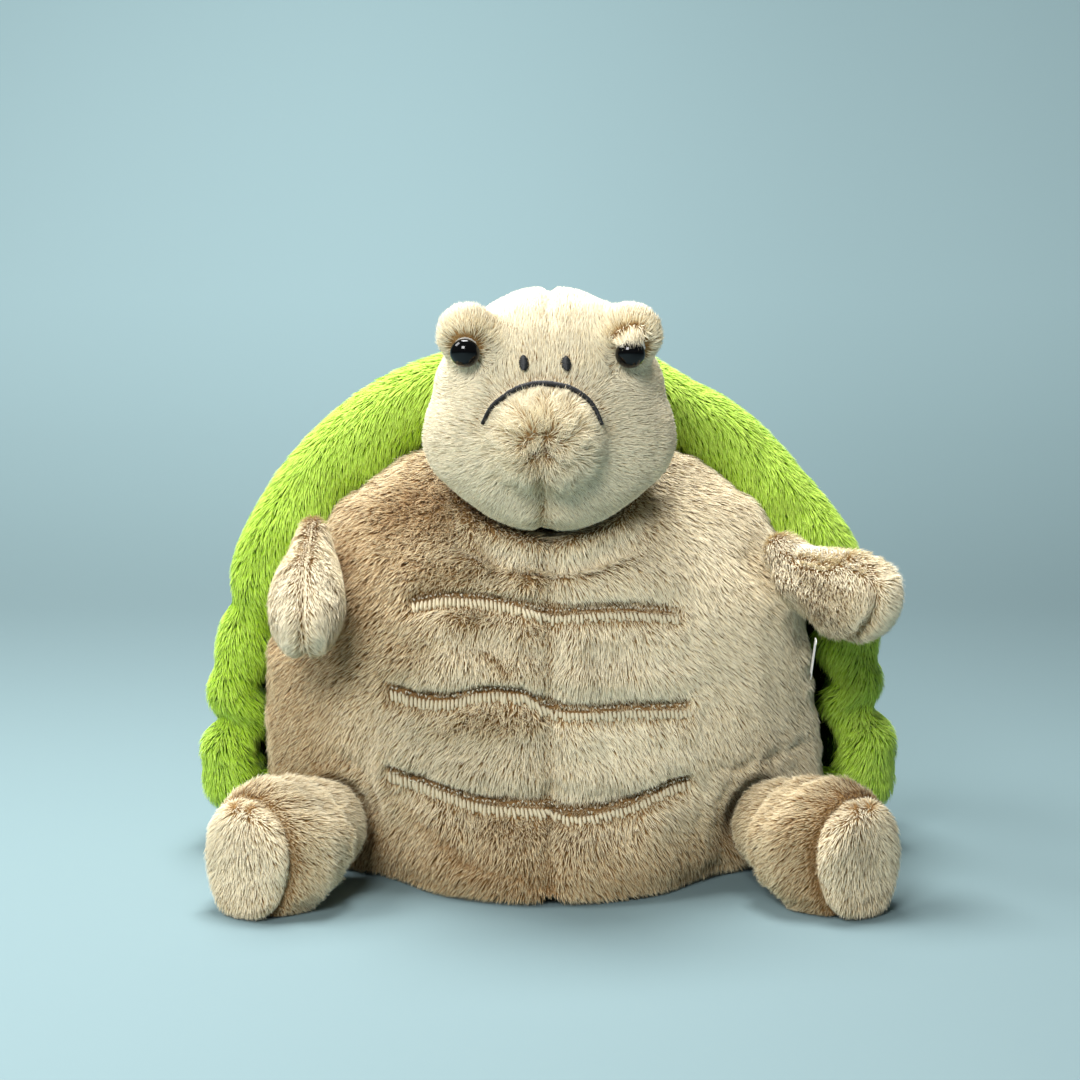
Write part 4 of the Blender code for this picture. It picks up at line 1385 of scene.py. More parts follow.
@dataclass
class Head:
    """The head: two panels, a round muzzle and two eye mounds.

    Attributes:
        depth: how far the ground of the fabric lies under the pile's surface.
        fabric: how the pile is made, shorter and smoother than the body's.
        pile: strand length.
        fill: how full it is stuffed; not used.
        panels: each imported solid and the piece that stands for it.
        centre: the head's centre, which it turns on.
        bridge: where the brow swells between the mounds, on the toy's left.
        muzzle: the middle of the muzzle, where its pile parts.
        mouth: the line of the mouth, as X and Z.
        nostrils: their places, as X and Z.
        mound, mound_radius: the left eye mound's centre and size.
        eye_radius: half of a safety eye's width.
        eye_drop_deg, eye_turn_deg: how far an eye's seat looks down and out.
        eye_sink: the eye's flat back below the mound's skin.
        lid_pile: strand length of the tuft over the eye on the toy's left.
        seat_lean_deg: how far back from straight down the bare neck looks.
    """

    depth: float = 0.0030
    fabric: Pile = Pile(CREAM, Slot.CREAM, 3.3e6, 0.00039, 0.0042, 0.14, 0.36, 40)
    pile: float = 0.0046
    fill: float = 0.9
    panels: dict[str, str] = field(default_factory=lambda: {
        "head_panel_left": "face_left", "head_panel_right": "face_right", "muzzle": "muzzle_puff",
        "eye_mound_left": "brow_left", "eye_mound_right": "brow_right",
    })
    centre: Place = (0.0, -0.066, 0.2095)
    bridge: Place = (0.0220, -0.083, 0.2500)
    muzzle: Place = (-0.0046, -0.123, 0.1980)
    mouth: Line = (
        (-0.0280, 0.2060), (-0.0243, 0.2128), (-0.0194, 0.2172), (-0.0123, 0.2214), (-0.0028, 0.2230),
        (0.0064, 0.2219), (0.0130, 0.2186), (0.0182, 0.2134), (0.0217, 0.2060),
    )
    nostrils: Line = ((-0.0108, 0.2314), (0.0070, 0.2312))
    mound: Place = (0.0345, -0.090, 0.2425)
    mound_radius: float = 0.0155
    eye_radius: float = 0.006
    eye_drop_deg: float = 29.0
    eye_turn_deg: float = 4.0
    eye_sink: float = 0.0015
    lid_pile: float = 0.0082
    seat_lean_deg: float = 49.0

    def eye_frame(self, side: int) -> tuple[Vector, Vector]:
        """The middle of an eye's flat back and the way its seat looks.

        Args:
            side: 1 for the toy's left, -1 for its right.

        Returns:
            The place and the unit direction.
        """
        drop, turn = math.radians(self.eye_drop_deg), math.radians(self.eye_turn_deg)
        level = Vector((side * math.sin(turn), -math.cos(turn), 0))
        axis = level * math.cos(drop) - Vector((0, 0, math.sin(drop)))
        centre = Vector((side * self.mound[0], self.mound[1], self.mound[2]))
        reach = math.sqrt(self.mound_radius**2 - self.eye_radius**2) - self.eye_sink
        return centre + axis * reach, axis

    def seam_gap(self, points: Array) -> Array:
        """Distance across from the chin's seam, which runs from the muzzle down to the neck."""
        middle = self.muzzle[0] + 0.0022 * smooth_step(self.muzzle[2] - points[:, 2], 0.0, 0.03)
        return points[:, 0] - middle

    def shape(self) -> Skin:
        """The bare skin, with its seams, creases and the pit of the muzzle drawn in."""
        skin = fused([*self.panels, "head_stuffing"], 0.0019, 9)
        held = dip(skin.points[:, 0], 0.0018)
        away = gap_to(skin.points, self.centre)
        held = np.maximum(held, dip(away - 0.0545, 0.001) * (skin.points[:, 1] > -0.05))
        for side in (1, -1):
            gone = gap_to(skin.points, self.eye_frame(side)[0])
            held = np.maximum(held, 1 - smooth_step(gone, 0.008, 0.012))
        skin = filled(puffed(skin, np.clip(held, 0, 1), 0.0016, 0.02), 24)
        points = skin.points - skin.facing * self.depth
        points = pushed(points, skin.facing, 0.0042 * dip(gap_to(points, self.bridge), 0.0085))
        x, y, z = points.T
        # The stuffing fills the cheeks at the mouth's height and leaves the temples slack.
        wide = 0.0030 * dip(z - 0.186, 0.016) - 0.0018 * dip(z - 0.2150, 0.008)
        x += np.sign(x) * wide * smooth_step(np.abs(x), 0.028, 0.048)
        front = smooth_step(-y, 0.080, 0.100)
        pit = 0.0024 * dip(spot_gap(points, self.muzzle[0], self.muzzle[2]), 0.0042) * front
        below = smooth_step(self.muzzle[2] - z, -0.004, 0.004)
        below = below * (0.45 + 0.55 * smooth_step(z, 0.166, 0.176))
        across = self.seam_gap(points)
        seam = (0.0020 * dip(across, 0.0015) + 0.0010 * dip(across, 0.0050)) * below
        seam = seam * smooth_step(-y, 0.05, 0.07)
        chin = 0.0010 * dip(spot_gap(points, -0.0025, 0.1675), 0.0030) * front
        parting = (0.0014 * dip(x, 0.0013) + 0.0005 * dip(x, 0.004)) * smooth_step(z, 0.236, 0.252)
        cheeks = 0.0
        for side in (1, -1):
            line = ((side * 0.0440, 0.229), (side * 0.0470, 0.210), (side * 0.0445, 0.192))
            cheeks = cheeks + 0.0011 * dip(flat_gap(points, line), 0.0022)
        return bare(pushed(points, skin.facing, -(pit + seam + chin + parting + cheeks * front)), skin.faces)

    def build(self, dresser: "Dresser") -> Skin:
        """Makes the five plush pieces of the head.

        Args:
            dresser: what grows their pile.

        Returns:
            The whole skin of the head, which the embroidery is laid on.
        """
        bald = self.shape()
        points, facing = bald.points, bald.facing
        x, y, z = points.T
        count = len(points)
        offset = points - np.array(self.muzzle)
        radial = np.hypot(offset[:, 0], offset[:, 2])
        front = smooth_step(-y, 0.080, 0.100)
        upper = smooth_step(z, 0.222, 0.245)
        outward = unit(offset) + np.outer(upper, (0.0, 0.8, 0.9))
        skin = Skin(
            points, bald.faces, facing, outward, np.full(count, self.pile), np.ones(count),
            np.full(count, 0.60), np.full(count, 0.45),
        )
        strength = np.full(count, 2.5)
        tuft = (1 - smooth_step(radial, 0.018, 0.027)) * front
        strength -= 1.55 * tuft * dip(radial, 0.022)
        skin.pile += 0.0020 * tuft
        skin.wild += 1.7 * tuft
        skin.tint -= 0.22 * tuft + 0.22 * dip(np.hypot(offset[:, 0], offset[:, 2] + 0.002), 0.0110) * front
        # The muzzle was stroked this way and that, so its pile lies in patches.
        outward[:, 0] += 0.75 * (np.sin(x * 640 + 1.7 * np.sin(z * 420)) * tuft)
        outward[:, 2] += 0.75 * np.sin(z * 590 + 1.9 * np.sin(x * 380)) * tuft
        across = self.seam_gap(points)
        below = smooth_step(-offset[:, 2], -0.002, 0.004) * smooth_step(-y, 0.05, 0.07)
        skin.tint -= (0.50 * dip(across, 0.0013) + 0.12 * dip(across, 0.007)) * below
        skin.pile *= 1 - 0.40 * dip(across, 0.0030) * below
        outward[:, 0] += np.sign(across) * 1.1 * dip(across, 0.009) * below
        skin.pile *= 1 - 0.30 * (smooth_step(z, 0.240, 0.254) * dip(x, 0.0024))
        skin.wild += 0.45 * upper
        # Painted light on the top of the head.
        skin.tint += 0.14 * smooth_step(z, 0.240, 0.258)
        # Painted shade on the lower head, towards the neck.
        skin.tint -= 0.22 * (1 - smooth_step(z, 0.162, 0.186))
        for side in (1, -1):
            self.around_eye(side, skin, strength)
        skin.comb = tangent(outward, facing, np.maximum(strength, 0.4))
        lean = math.radians(self.seat_lean_deg)
        seated = unit(points - np.array(self.centre)) @ np.array([0.0, math.cos(lean), -math.sin(lean)])
        skin.cover *= 1 - smooth_step(seated, 0.68, 0.80)
        for at_x, at_z in self.nostrils:
            skin.pile *= 1 - 0.55 * dip(spot_gap(points, at_x, at_z, 0.75), 0.0032) * front
        skin.tint -= 0.40 * dip(flat_gap(points, ((0.0215, 0.2435), (0.0192, 0.2530))), 0.0013) * front
        skin.pile *= 1 - 0.50 * dip(flat_gap(points, self.mouth), 0.0026) * front
        for at_x in (-0.0292, 0.0228):
            skin.tint -= 0.35 * dip(spot_gap(points, at_x, 0.2035), 0.0028) * front
        dresser.dress_panels(skin, self.panels, self.fabric, Body.HEAD)
        return skin

    def around_eye(self, side: int, skin: Skin, strength: Array) -> None:
        """Combs the pile away from an eye, and a tuft of it over the eye on the toy's left.

        Args:
            side: 1 for the toy's left, -1 for its right.
            skin: the head's skin, whose values are changed.
            strength: how flat its pile lies, which is changed too.
        """
        place, axis = self.eye_frame(side)
        away = skin.points - np.array(place)
        depth = away @ np.array(axis)
        across = away - np.outer(depth, np.array(axis))
        ring, gone = np.linalg.norm(across, axis=1), np.linalg.norm(away, axis=1)
        skin.comb += unit(across) * (3.5 * dip(gone, 0.015))[:, None]
        strength -= 0.9 * dip(gone, 0.013)
        skin.wild += 0.8 * dip(gone, 0.016)
        patch = dip(gap_to(away, (-side * 0.007, 0.0, 0.0095)), 0.0080)
        skin.tint -= 0.30 * patch + 0.05 * dip(gone, 0.009)
        skin.wild += 0.6 * patch
        skin.pile += 0.0010 * patch
        low = dip(gone, 0.0105) * (away[:, 2] < 0.001)
        skin.pile *= 1 - 0.35 * low
        strength += 0.8 * low
        bare_seat = smooth_step(ring, 0.0058, 0.0066)
        if side < 0:
            skin.cover *= np.where(depth > -0.004, bare_seat, 1.0)
            return
        lid = unit(across) @ np.array(Vector((-0.45, 0.0, 0.90)).normalized())
        lid = smooth_step(lid, 0.30, 0.62) * (1 - smooth_step(ring, 0.0098, 0.0122)) * (ring > 0.0052)
        lid = lid * (depth > -0.006)
        skin.comb[:] = skin.comb * (1 - lid[:, None]) - unit(across) * (4 * lid)[:, None]
        strength[:] = strength * (1 - lid) + 1.25 * lid
        skin.pile[:] = skin.pile * (1 - lid) + self.lid_pile * lid
        skin.wild[:] = skin.wild * (1 - lid) + 0.55 * lid
        skin.cover *= 1 + 0.9 * lid
        skin.cover *= np.where((depth > -0.004) & (lid < 0.3), bare_seat, 1.0)


@dataclass
class Arm:
    """An arm: two panels round one stuffing.

    Attributes:
        side: 1 for the toy's left, -1 for its right.
        body: the body that it moves with.
        heading_deg, drop_deg: the way it points.
        root: its shoulder's centre.
        length: from the shoulder to the tip.
        depth: how far the ground of the fabric lies under the pile's surface.
        fabric: how the pile is made.
        pile: strand length.
        fill: how full it is stuffed; not used.
        trodden: a flattened place on the right arm's pile.
    """

    side: int
    body: Body
    heading_deg: float
    drop_deg: float
    root: Place
    length: float = 0.069
    depth: float = 0.0036
    fabric: Pile = Pile(CREAM, Slot.CREAM, 3.0e6, 0.00040, 0.0045, 0.15, 0.36, 60)
    pile: float = 0.0048
    fill: float = 0.8
    trodden: Place = (-0.1054, -0.100, 0.1418)

    def axes(self) -> tuple[Array, Array]:
        """The way the arm points and the level direction across it."""
        heading, drop = math.radians(self.heading_deg), math.radians(self.drop_deg)
        level = np.array([self.side * math.cos(heading), -math.sin(heading), 0.0])
        along = level * math.cos(drop) - np.array([0.0, 0.0, math.sin(drop)])
        return along, np.array([level[1], -level[0], 0.0])

    def stuffed(self, skin: Skin) -> Array:
        """The skin's places once its uneven stuffing has shaped them.

        Args:
            skin: the puffed skin.

        Returns:
            The moved places.
        """
        along, hinge = self.axes()
        root = np.array(self.root)
        points = skin.points - skin.facing * self.depth
        reach, up = (points - root) @ along, skin.facing[:, 2]
        if self.side < 0:
            # This arm is drawn up and narrows towards the shoulder.
            narrow = 0.42 * smooth_step(points[:, 2], 0.134, 0.156)
            points = points - np.outer((points - root) @ hinge * narrow, hinge)
            points[:, 2] += 0.35 * np.maximum(points[:, 2] - 0.132, 0.0)
            return points
        # This arm's stuffing has sunk to its lower side, and fills it up to the shoulder.
        sunk = smooth_step(reach, 0.004, 0.016) * (1 - smooth_step(reach, 0.048, 0.068))
        points = pushed(points, skin.facing, 0.0046 * smooth_step(-up, -0.3, 0.7) * sunk)
        points = pushed(points, skin.facing, 0.0026 * dip(reach - 0.012, 0.010) * smooth_step(-up, -0.2, 0.5))
        points[:, 2] -= 0.0046 * (smooth_step(up, 0.2, 0.9) * smooth_step(reach, -0.004, 0.010))
        return points

    def build(self, dresser: "Dresser") -> None:
        """Makes both panels.

        Args:
            dresser: what grows their pile.
        """
        label = "left" if self.side > 0 else "right"
        panels = {f"arm_{label}_{part}_panel": f"arm_{label}_{part}" for part in ("inner", "outer")}
        skin = fused([*panels, f"arm_{label}_stuffing"], 0.0019, 5)
        along, hinge = self.axes()
        root = np.array(self.root)
        seam_gap, reach = (skin.points - root) @ hinge, (skin.points - root) @ along
        skin = puffed(skin, np.clip(dip(seam_gap, 0.002) + (reach < 0.004), 0, 1), 0.0015, 0.03)
        reach = (skin.points - skin.facing * self.depth - root) @ along
        points = self.stuffed(skin)
        ending = smooth_step(reach, self.length * 0.45, self.length * 0.8)
        seam_gap = (points - root) @ hinge - (0.0065 * ending if self.side > 0 else 0.0)
        furrow = (0.0017 * dip(seam_gap, 0.0014) + 0.0008 * dip(seam_gap, 0.004)) * (0.35 + 0.65 * ending)
        points = pushed(points, skin.facing, -furrow)
        facing = corner_facing(points, skin.faces)
        near = np.exp(-((gap_to(points, root + along * self.length) / 0.020) ** 2))
        off_seam = np.outer(np.sign(seam_gap) * (0.25 + 0.35 * near), hinge)
        toward = along * (0.9 - 0.7 * near)[:, None] + off_seam - np.array([0.0, 0.0, 0.45])
        strength = np.full(len(points), 1.75)
        tint = 0.36 - (0.34 * dip(seam_gap, 0.0012) + 0.08 * dip(seam_gap, 0.005)) * (0.25 + 0.75 * ending)
        wild = 0.7 + 0.2 * near
        if self.side > 0:
            # The pile of this arm is brushed up and shows its brown roots.
            middle = smooth_step(reach, 0.010, 0.026) * (1 - smooth_step(reach, 0.052, 0.064))
            brown = middle * (1 - smooth_step(np.abs(facing[:, 2] + 0.1), 0.25, 0.60))
            # Near the shoulder the arm is drawn darker: painted shade where it meets the body.
            tint = tint + 0.22 - 0.66 * brown - 0.3 * dip(reach - 0.006, 0.006)
            wild = wild + 0.8 * middle
            strength = strength - 0.40 * middle
        else:
            spot = dip(gap_to(points, self.trodden), 0.007)
            # The trodden spot is darker, and the arm's upper end, under the shell's rim, is drawn darker as
            # painted shade.
            tint = tint + 0.26 - 0.3 * spot - 0.60 * smooth_step(points[:, 2], 0.144, 0.160)
        pile = self.pile * (1 - 0.35 * dip(seam_gap, 0.0024) * (0.3 + 0.7 * ending))
        cover = smooth_step(reach, -0.010, -0.005)
        skin = Skin(points, skin.faces, facing, tangent(toward, facing, strength), pile, cover, tint, wild)
        fabric = replace(self.fabric, seed=self.fabric.seed + 4 * self.side)
        dresser.dress_panels(skin, panels, fabric, self.body)


@dataclass
class Leg:
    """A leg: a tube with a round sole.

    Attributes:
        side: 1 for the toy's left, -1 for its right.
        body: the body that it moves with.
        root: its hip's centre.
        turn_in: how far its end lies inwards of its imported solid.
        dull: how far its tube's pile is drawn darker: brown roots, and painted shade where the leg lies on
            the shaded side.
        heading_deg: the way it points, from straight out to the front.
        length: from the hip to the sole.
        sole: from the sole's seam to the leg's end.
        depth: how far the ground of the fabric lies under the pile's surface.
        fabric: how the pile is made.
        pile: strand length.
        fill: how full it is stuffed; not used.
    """

    side: int
    body: Body
    root: Place
    turn_in: float
    dull: float
    heading_deg: float = 52.0
    length: float = 0.0575
    sole: float = 0.0085
    depth: float = 0.0036
    fabric: Pile = Pile(CREAM, Slot.CREAM, 2.5e6, 0.00043, 0.0045, 0.16, 0.36, 80)
    pile: float = 0.0050
    fill: float = 0.9

    def turned_in(self, points: Array) -> Array:
        """Places on the leg, with its end turned towards the front, as it lies in the photograph.

        Args:
            points: the places.

        Returns:
            The moved places.
        """
        reach = np.hypot(points[:, 0] - self.root[0], points[:, 1] - self.root[1])
        bent = smooth_step(reach, 0.012, 0.060)
        moved = points.copy()
        moved[:, 0] -= self.side * self.turn_in * bent
        moved[:, 1] -= 0.3 * self.turn_in * bent
        return moved

    def stuffed(self, skin: Skin, along: Array) -> tuple[Array, Array]:
        """The form that its stuffing and its weight give the leg.

        Args:
            skin: the puffed skin.
            along: the way the leg points.

        Returns:
            The moved places and how far along the leg each lies from the sole's seam.
        """
        root = np.array(self.root)
        seam_at = self.length - self.sole
        points = skin.points - skin.facing * self.depth
        reach = (points - root) @ along
        # The stuffing domes the sole and weighs the foot down onto the ground.
        spread = points - root - np.outer(reach, along)
        off_axis = np.hypot(spread @ np.array([along[1], -along[0], 0.0]), spread[:, 2])
        domed = smooth_step(reach, seam_at - 0.002, seam_at + 0.006)
        domed = domed * np.maximum(1 - (off_axis / 0.031) ** 2, 0.0) ** 0.7
        sunk = (1 - smooth_step(points[:, 2], 0.0, 0.024)) * smooth_step(reach, 0.030, seam_at)
        forward = np.array([self.side * 0.2, -0.98, 0.0])
        points = points + forward * (0.0060 * domed + 0.0065 * sunk)[:, None]
        points = pushed(points, skin.facing, 0.0012 * smooth_step(reach, 0.020, seam_at))
        points[:, 2] -= 0.0030 * sunk
        # The tube is fullest along its middle, and its underside lies on the ground.
        full = smooth_step(reach, 0.004, 0.020) * (1 - smooth_step(reach, seam_at - 0.014, seam_at - 0.002))
        points = pushed(points, skin.facing, 0.0030 * full)
        points[:, 0] -= self.side * 0.0055 * (smooth_step(-self.side * skin.facing[:, 0], 0.0, 0.8) * full)
        laid = smooth_step(reach, 0.004, 0.022)
        points[:, 2] -= 0.0050 * laid * (1 - smooth_step(points[:, 2], 0.004, 0.036))
        past = reach - seam_at
        seam = 0.0022 * dip(past, 0.0013) + 0.0007 * dip(past, 0.0040)
        points = self.turned_in(pushed(points, skin.facing, -seam))
        points[:, 2] = np.maximum(points[:, 2], LOWEST_SKIN)
        return points, past

    def build(self, dresser: "Dresser") -> None:
        """Makes the tube and the sole.

        Args:
            dresser: what grows their pile.
        """
        label = "left" if self.side > 0 else "right"
        panels = {f"leg_{label}_tube": f"leg_{label}_upper", f"leg_{label}_sole": f"leg_{label}_pad"}
        skin = fused([*panels, f"leg_{label}_stuffing"], 0.0021, 5)
        heading = math.radians(self.heading_deg)
        along = np.array([self.side * math.cos(heading), -math.sin(heading), 0.0])
        root = np.array(self.root)
        reach = (skin.points - root) @ along
        seam_at = self.length - self.sole
        held = np.clip(dip(reach - seam_at, 0.002) + (reach < 0.0), 0, 1)
        skin = puffed(skin, held, 0.0022, 0.05)
        reach = (skin.points - skin.facing * self.depth - root) @ along
        points, past = self.stuffed(skin, along)
        level = points[:, 2]
        facing = corner_facing(points, skin.faces)
        on_sole = smooth_step(reach, seam_at - 0.001, seam_at + 0.001)
        on_tube = 1 - on_sole
        tip = self.turned_in((root + along * self.length)[None])[0]
        round_leg = np.cross(np.tile(along, (len(points), 1)), facing)
        tube_way = -along * 0.9 + round_leg * (0.4 * self.side) + np.array([0.0, 0.0, -0.5])
        sole_way = unit(points - tip) * 0.45 + np.array([0.0, 0.0, -1.0]) - along * 0.3
        toward = sole_way * on_sole[:, None] + tube_way * on_tube[:, None]
        comb = tangent(toward, facing, 1.9 - 0.35 * on_tube)
        behind = seam_at - reach
        # The sole's seam and a band of the tube just behind it are drawn darker.
        seam_band = smooth_step(behind, 0.0, 0.003) * (1 - smooth_step(behind, 0.006, 0.014))
        seam_dark = 0.85 * dip(past, 0.0018) + 0.25 * seam_band
        # Painted shade: the tube's lower part and the sole near the ground are drawn darker.
        under = 1 - smooth_step(level, 0.034, 0.046)
        tint = 0.36 - self.dull * on_tube - seam_dark - 0.14 * on_tube * under
        tint = tint - 0.30 * on_sole * (1 - smooth_step(level, 0.004, 0.018))
        pile = self.pile * (1 - 0.3 * (1 - smooth_step(level, 0.002, 0.006)))
        pile = pile * (1 - 0.55 * dip(past, 0.0030))
        cover = smooth_step(reach, -0.018, -0.012)
        skin = Skin(points, skin.faces, facing, comb, pile, cover, tint, 0.60 + 0.75 * on_tube)
        fabric = replace(self.fabric, seed=self.fabric.seed + 4 * self.side)
        dresser.dress_panels(skin, panels, fabric, self.body)


@dataclass
class Shell:
    """The padded shell: an outer cover in two halves, a puffed rim and a darker lining.

    Attributes:
        half_width: half of the shell's width.
        middle: height of the widest place.
        top, bottom: its highest and lowest edges.
        start: where the dome meets its rim.
        back, pole: the dome's furthest place and its height.
        rim_depth: how far the puffed band comes forward.
        depth: how far the ground of the fabric lies under the pile's surface.
        pile: strand length.
        hang: how far it sinks beside the head, on the toy's left.
        pinches: places where a stitch draws the edge in, as side, Z, depth and height.
        fabric: how the cover's pile is made: longer and in bigger locks than the body's.
        rim_fabric: how the puffed band's pile is made.
        lining: how the lining's pile is made.
        cover_fill, rim_fill: how full the cover and the rim are stuffed; not used.
        lining_inset, lining_back: how far inside the edge and how deep the lining lies.
        lining_pile: strand length of the lining.
    """

    half_width: float = 0.162
    middle: float = 0.038
    top: float = 0.2355
    bottom: float = 0.005
    start: float = 0.012
    back: float = 0.106
    pole: float = 0.085
    rim_depth: float = 0.022
    depth: float = 0.0042
    pile: float = 0.0074
    hang: float = 0.0060
    pinches: tuple[tuple[float, float, float, float], ...] = (
        (-1, 0.0605, 0.0062, 0.0075), (-1, 0.1150, 0.0052, 0.0130), (-1, 0.0880, 0.0034, 0.0160),
        (1, 0.0655, 0.0080, 0.0090), (1, 0.1200, 0.0026, 0.0130), (1, 0.0880, 0.0050, 0.0160),
        (1, 0.1760, 0.0022, 0.0260),
    )
    fabric: Pile = Pile(GREEN, Slot.GREEN, 0.80e6, 0.00056, 0.0075, 0.42, 0.30, 90)
    rim_fabric: Pile = Pile(GREEN, Slot.GREEN, 1.85e6, 0.00056, 0.0075, 0.42, 0.30, 92)
    lining: Pile = Pile(LINING, Slot.LINING, 0.8e6, 0.0006, 0.005, 0.25, 0.3, 95)
    cover_fill: float = 0.5
    rim_fill: float = 0.7
    lining_inset: float = 0.0205
    lining_back: float = 0.062
    lining_pile: float = 0.005

    def outline(self, turn: Array, inset: Array | float, share: float = 1.0) -> Array:
        """Places on the shell's outline seen from the front.

        Args:
            turn: angles round it from the toy's left.
            inset: how far in from its edge.
            share: how much of its pinches and its hang it has.

        Returns:
            Places with Y at zero.
        """
        upper = np.sin(turn) > 0
        power = np.where(upper, 2.2, 4.0)
        wide = self.half_width - inset
        below = np.maximum(self.middle - self.bottom - inset, 0.004)
        tall = np.where(upper, self.top - self.middle - inset, below)
        across = wide * np.sign(np.cos(turn)) * np.abs(np.cos(turn)) ** (2 / power)
        rise = tall * np.sign(np.sin(turn)) * np.abs(np.sin(turn)) ** (2 / power)
        place = np.stack([across, np.zeros_like(across), self.middle + rise], axis=-1)
        return self.slumped(place, share)

    def slumped(self, place: Array, share: Array | float) -> Array:
        """Places on the shell, moved by its hang and its pinches.

        Args:
            place: the places, which are moved.
            share: how much of them each place has.

        Returns:
            The same places.
        """
        # On the toy's left the shell hangs lower beside the head.
        beside = smooth_step(place[:, 0], 0.030, 0.070) * (1 - smooth_step(place[:, 0], 0.115, 0.155))
        place[:, 2] -= share * self.hang * beside * smooth_step(place[:, 2], 0.100, 0.160)
        place[:, 0] -= share * np.sign(place[:, 0]) * self.pinched(place)
        return place

    def pinched(self, places: Array) -> Array:
        """How far the edge is drawn in at each place."""
        total = np.zeros(len(places))
        for side, level, deep, tall in self.pinches:
            total += deep * dip(places[:, 2] - level, tall) * (np.sign(places[:, 0]) == side)
        return total * smooth_step(np.abs(places[:, 0]), 0.06, 0.11)

    @staticmethod
    def turns(count: int) -> Array:
        """Angles round the outline, closer where its lower corners turn sharply."""
        even = (np.arange(count) + 0.5) / count * 2 * math.pi
        return even - 0.16 * np.sin(2 * even)

    @staticmethod
    def grid(rows: list[Array], closed_end: bool) -> tuple[Array, Faces]:
        """Joins rings of equal count into a sheet.

        Args:
            rows: the rings.
            closed_end: whether the last ring closes on one point.

        Returns:
            Places and faces.
        """
        size = len(rows[0])
        faces = []
        for i in range(len(rows) - 1):
            for j in range(size):
                k = (j + 1) % size
                faces.append((i * size + j, i * size + k, (i + 1) * size + k, (i + 1) * size + j))
        points = np.concatenate(rows)
        if closed_end:
            points = np.concatenate([points, rows[-1].mean(axis=0)[None]])
            first = (len(rows) - 1) * size
            faces += [(first + j, first + (j + 1) % size, len(points) - 1) for j in range(size)]
        return points, faces

    @staticmethod
    def facing_out(points: Array, faces: Faces, probe: Array) -> Faces:
        """The faces turned so that the skin faces along the probe's directions."""
        facing = corner_facing(points, faces)
        return faces if (facing * probe).sum() > 0 else [face[::-1] for face in faces]

    def dome(self, inset: float, back: float, around: int, steps: int) -> tuple[Array, Faces]:
        """The dome from its front edge to its pole.

        Args:
            inset: how far in from the edge.
            back: Y of its pole.
            around, steps: its corners.

        Returns:
            Places and faces.
        """
        rows = []
        for row in range(steps):
            lift = math.pi / 2 * row / (steps + 0.5)
            fullness = math.cos(lift) ** (2 / 2.3)
            middle = np.array([0.0, 0.0, self.pole])
            share = float(1 - smooth_step(np.array(lift), 0.06, 0.55))
            ring = middle + (self.outline(self.turns(around), inset, share) - middle) * fullness
            ring[:, 1] = self.start + (back - self.start) * math.sin(lift) ** (2 / 2.3)
            rows.append(ring)
        return self.grid(rows, True)

    def build(self, dresser: "Dresser") -> None:
        """Makes the cover, the rim and the lining."""
        self.build_cover(dresser)
        self.build_rim(dresser)
        self.build_lining(dresser)

    def build_cover(self, dresser: "Dresser") -> None:
        """The outer cover: two halves joined on a seam down the back.

        Args:
            dresser: what grows their pile.
        """
        points, faces = self.dome(self.depth, self.back - self.depth, 200, 52)
        away = points - np.array([0.0, 0.0, self.pole])
        faces = self.facing_out(points, faces, away)
        held = dip(points[:, 0], 0.0025) + (points[:, 1] < self.start + 0.0005)
        skin = puffed(bare(points, faces), np.clip(held, 0, 1), 0.0025, 0.02)
        points, facing = skin.points, skin.facing
        seam = 0.0016 * dip(points[:, 0], 0.0022) + 0.0008 * dip(points[:, 0], 0.008)
        points = pushed(points, facing, -seam * smooth_step(points[:, 1], 0.012, 0.030))
        facing = corner_facing(points, faces)
        count = len(points)
        outward = np.stack([points[:, 0] * 2.0, np.zeros(count), np.full(count, -0.12)], axis=1)
        comb = tangent(outward, facing, 2.4)
        # The cover is drawn paler towards its top, as painted light, and darker on its seam.
        tint = 0.34 + 0.22 * smooth_step(points[:, 2], 0.15, 0.22) - 0.3 * dip(points[:, 0], 0.003)
        wild = np.full(count, 0.45)
        cover = np.where(points[:, 2] < 0.004, 0.2, 1.0)
        skin = Skin(points, faces, facing, comb, np.full(count, self.pile * 0.85), cover, tint, wild)
        centres = skin.centres()
        for seed, (label, sign) in enumerate((("left", 1), ("right", -1))):
            sheet = skin.part(centres[:, 0] * sign > 0)
            fabric = replace(self.fabric, seed=self.fabric.seed + seed)
            made = dresser.dress(f"shell_cover_{label}", sheet, fabric, Body.TORSO, "shell_cover")

    def build_rim(self, dresser: "Dresser") -> None:
        """The puffed band, narrower and flatter at its pinches.

        Args:
            dresser: what grows their pile.
        """
        count, around = 360, 22
        turns = self.turns(count)
        outer = self.outline(turns, self.depth * 0.45)
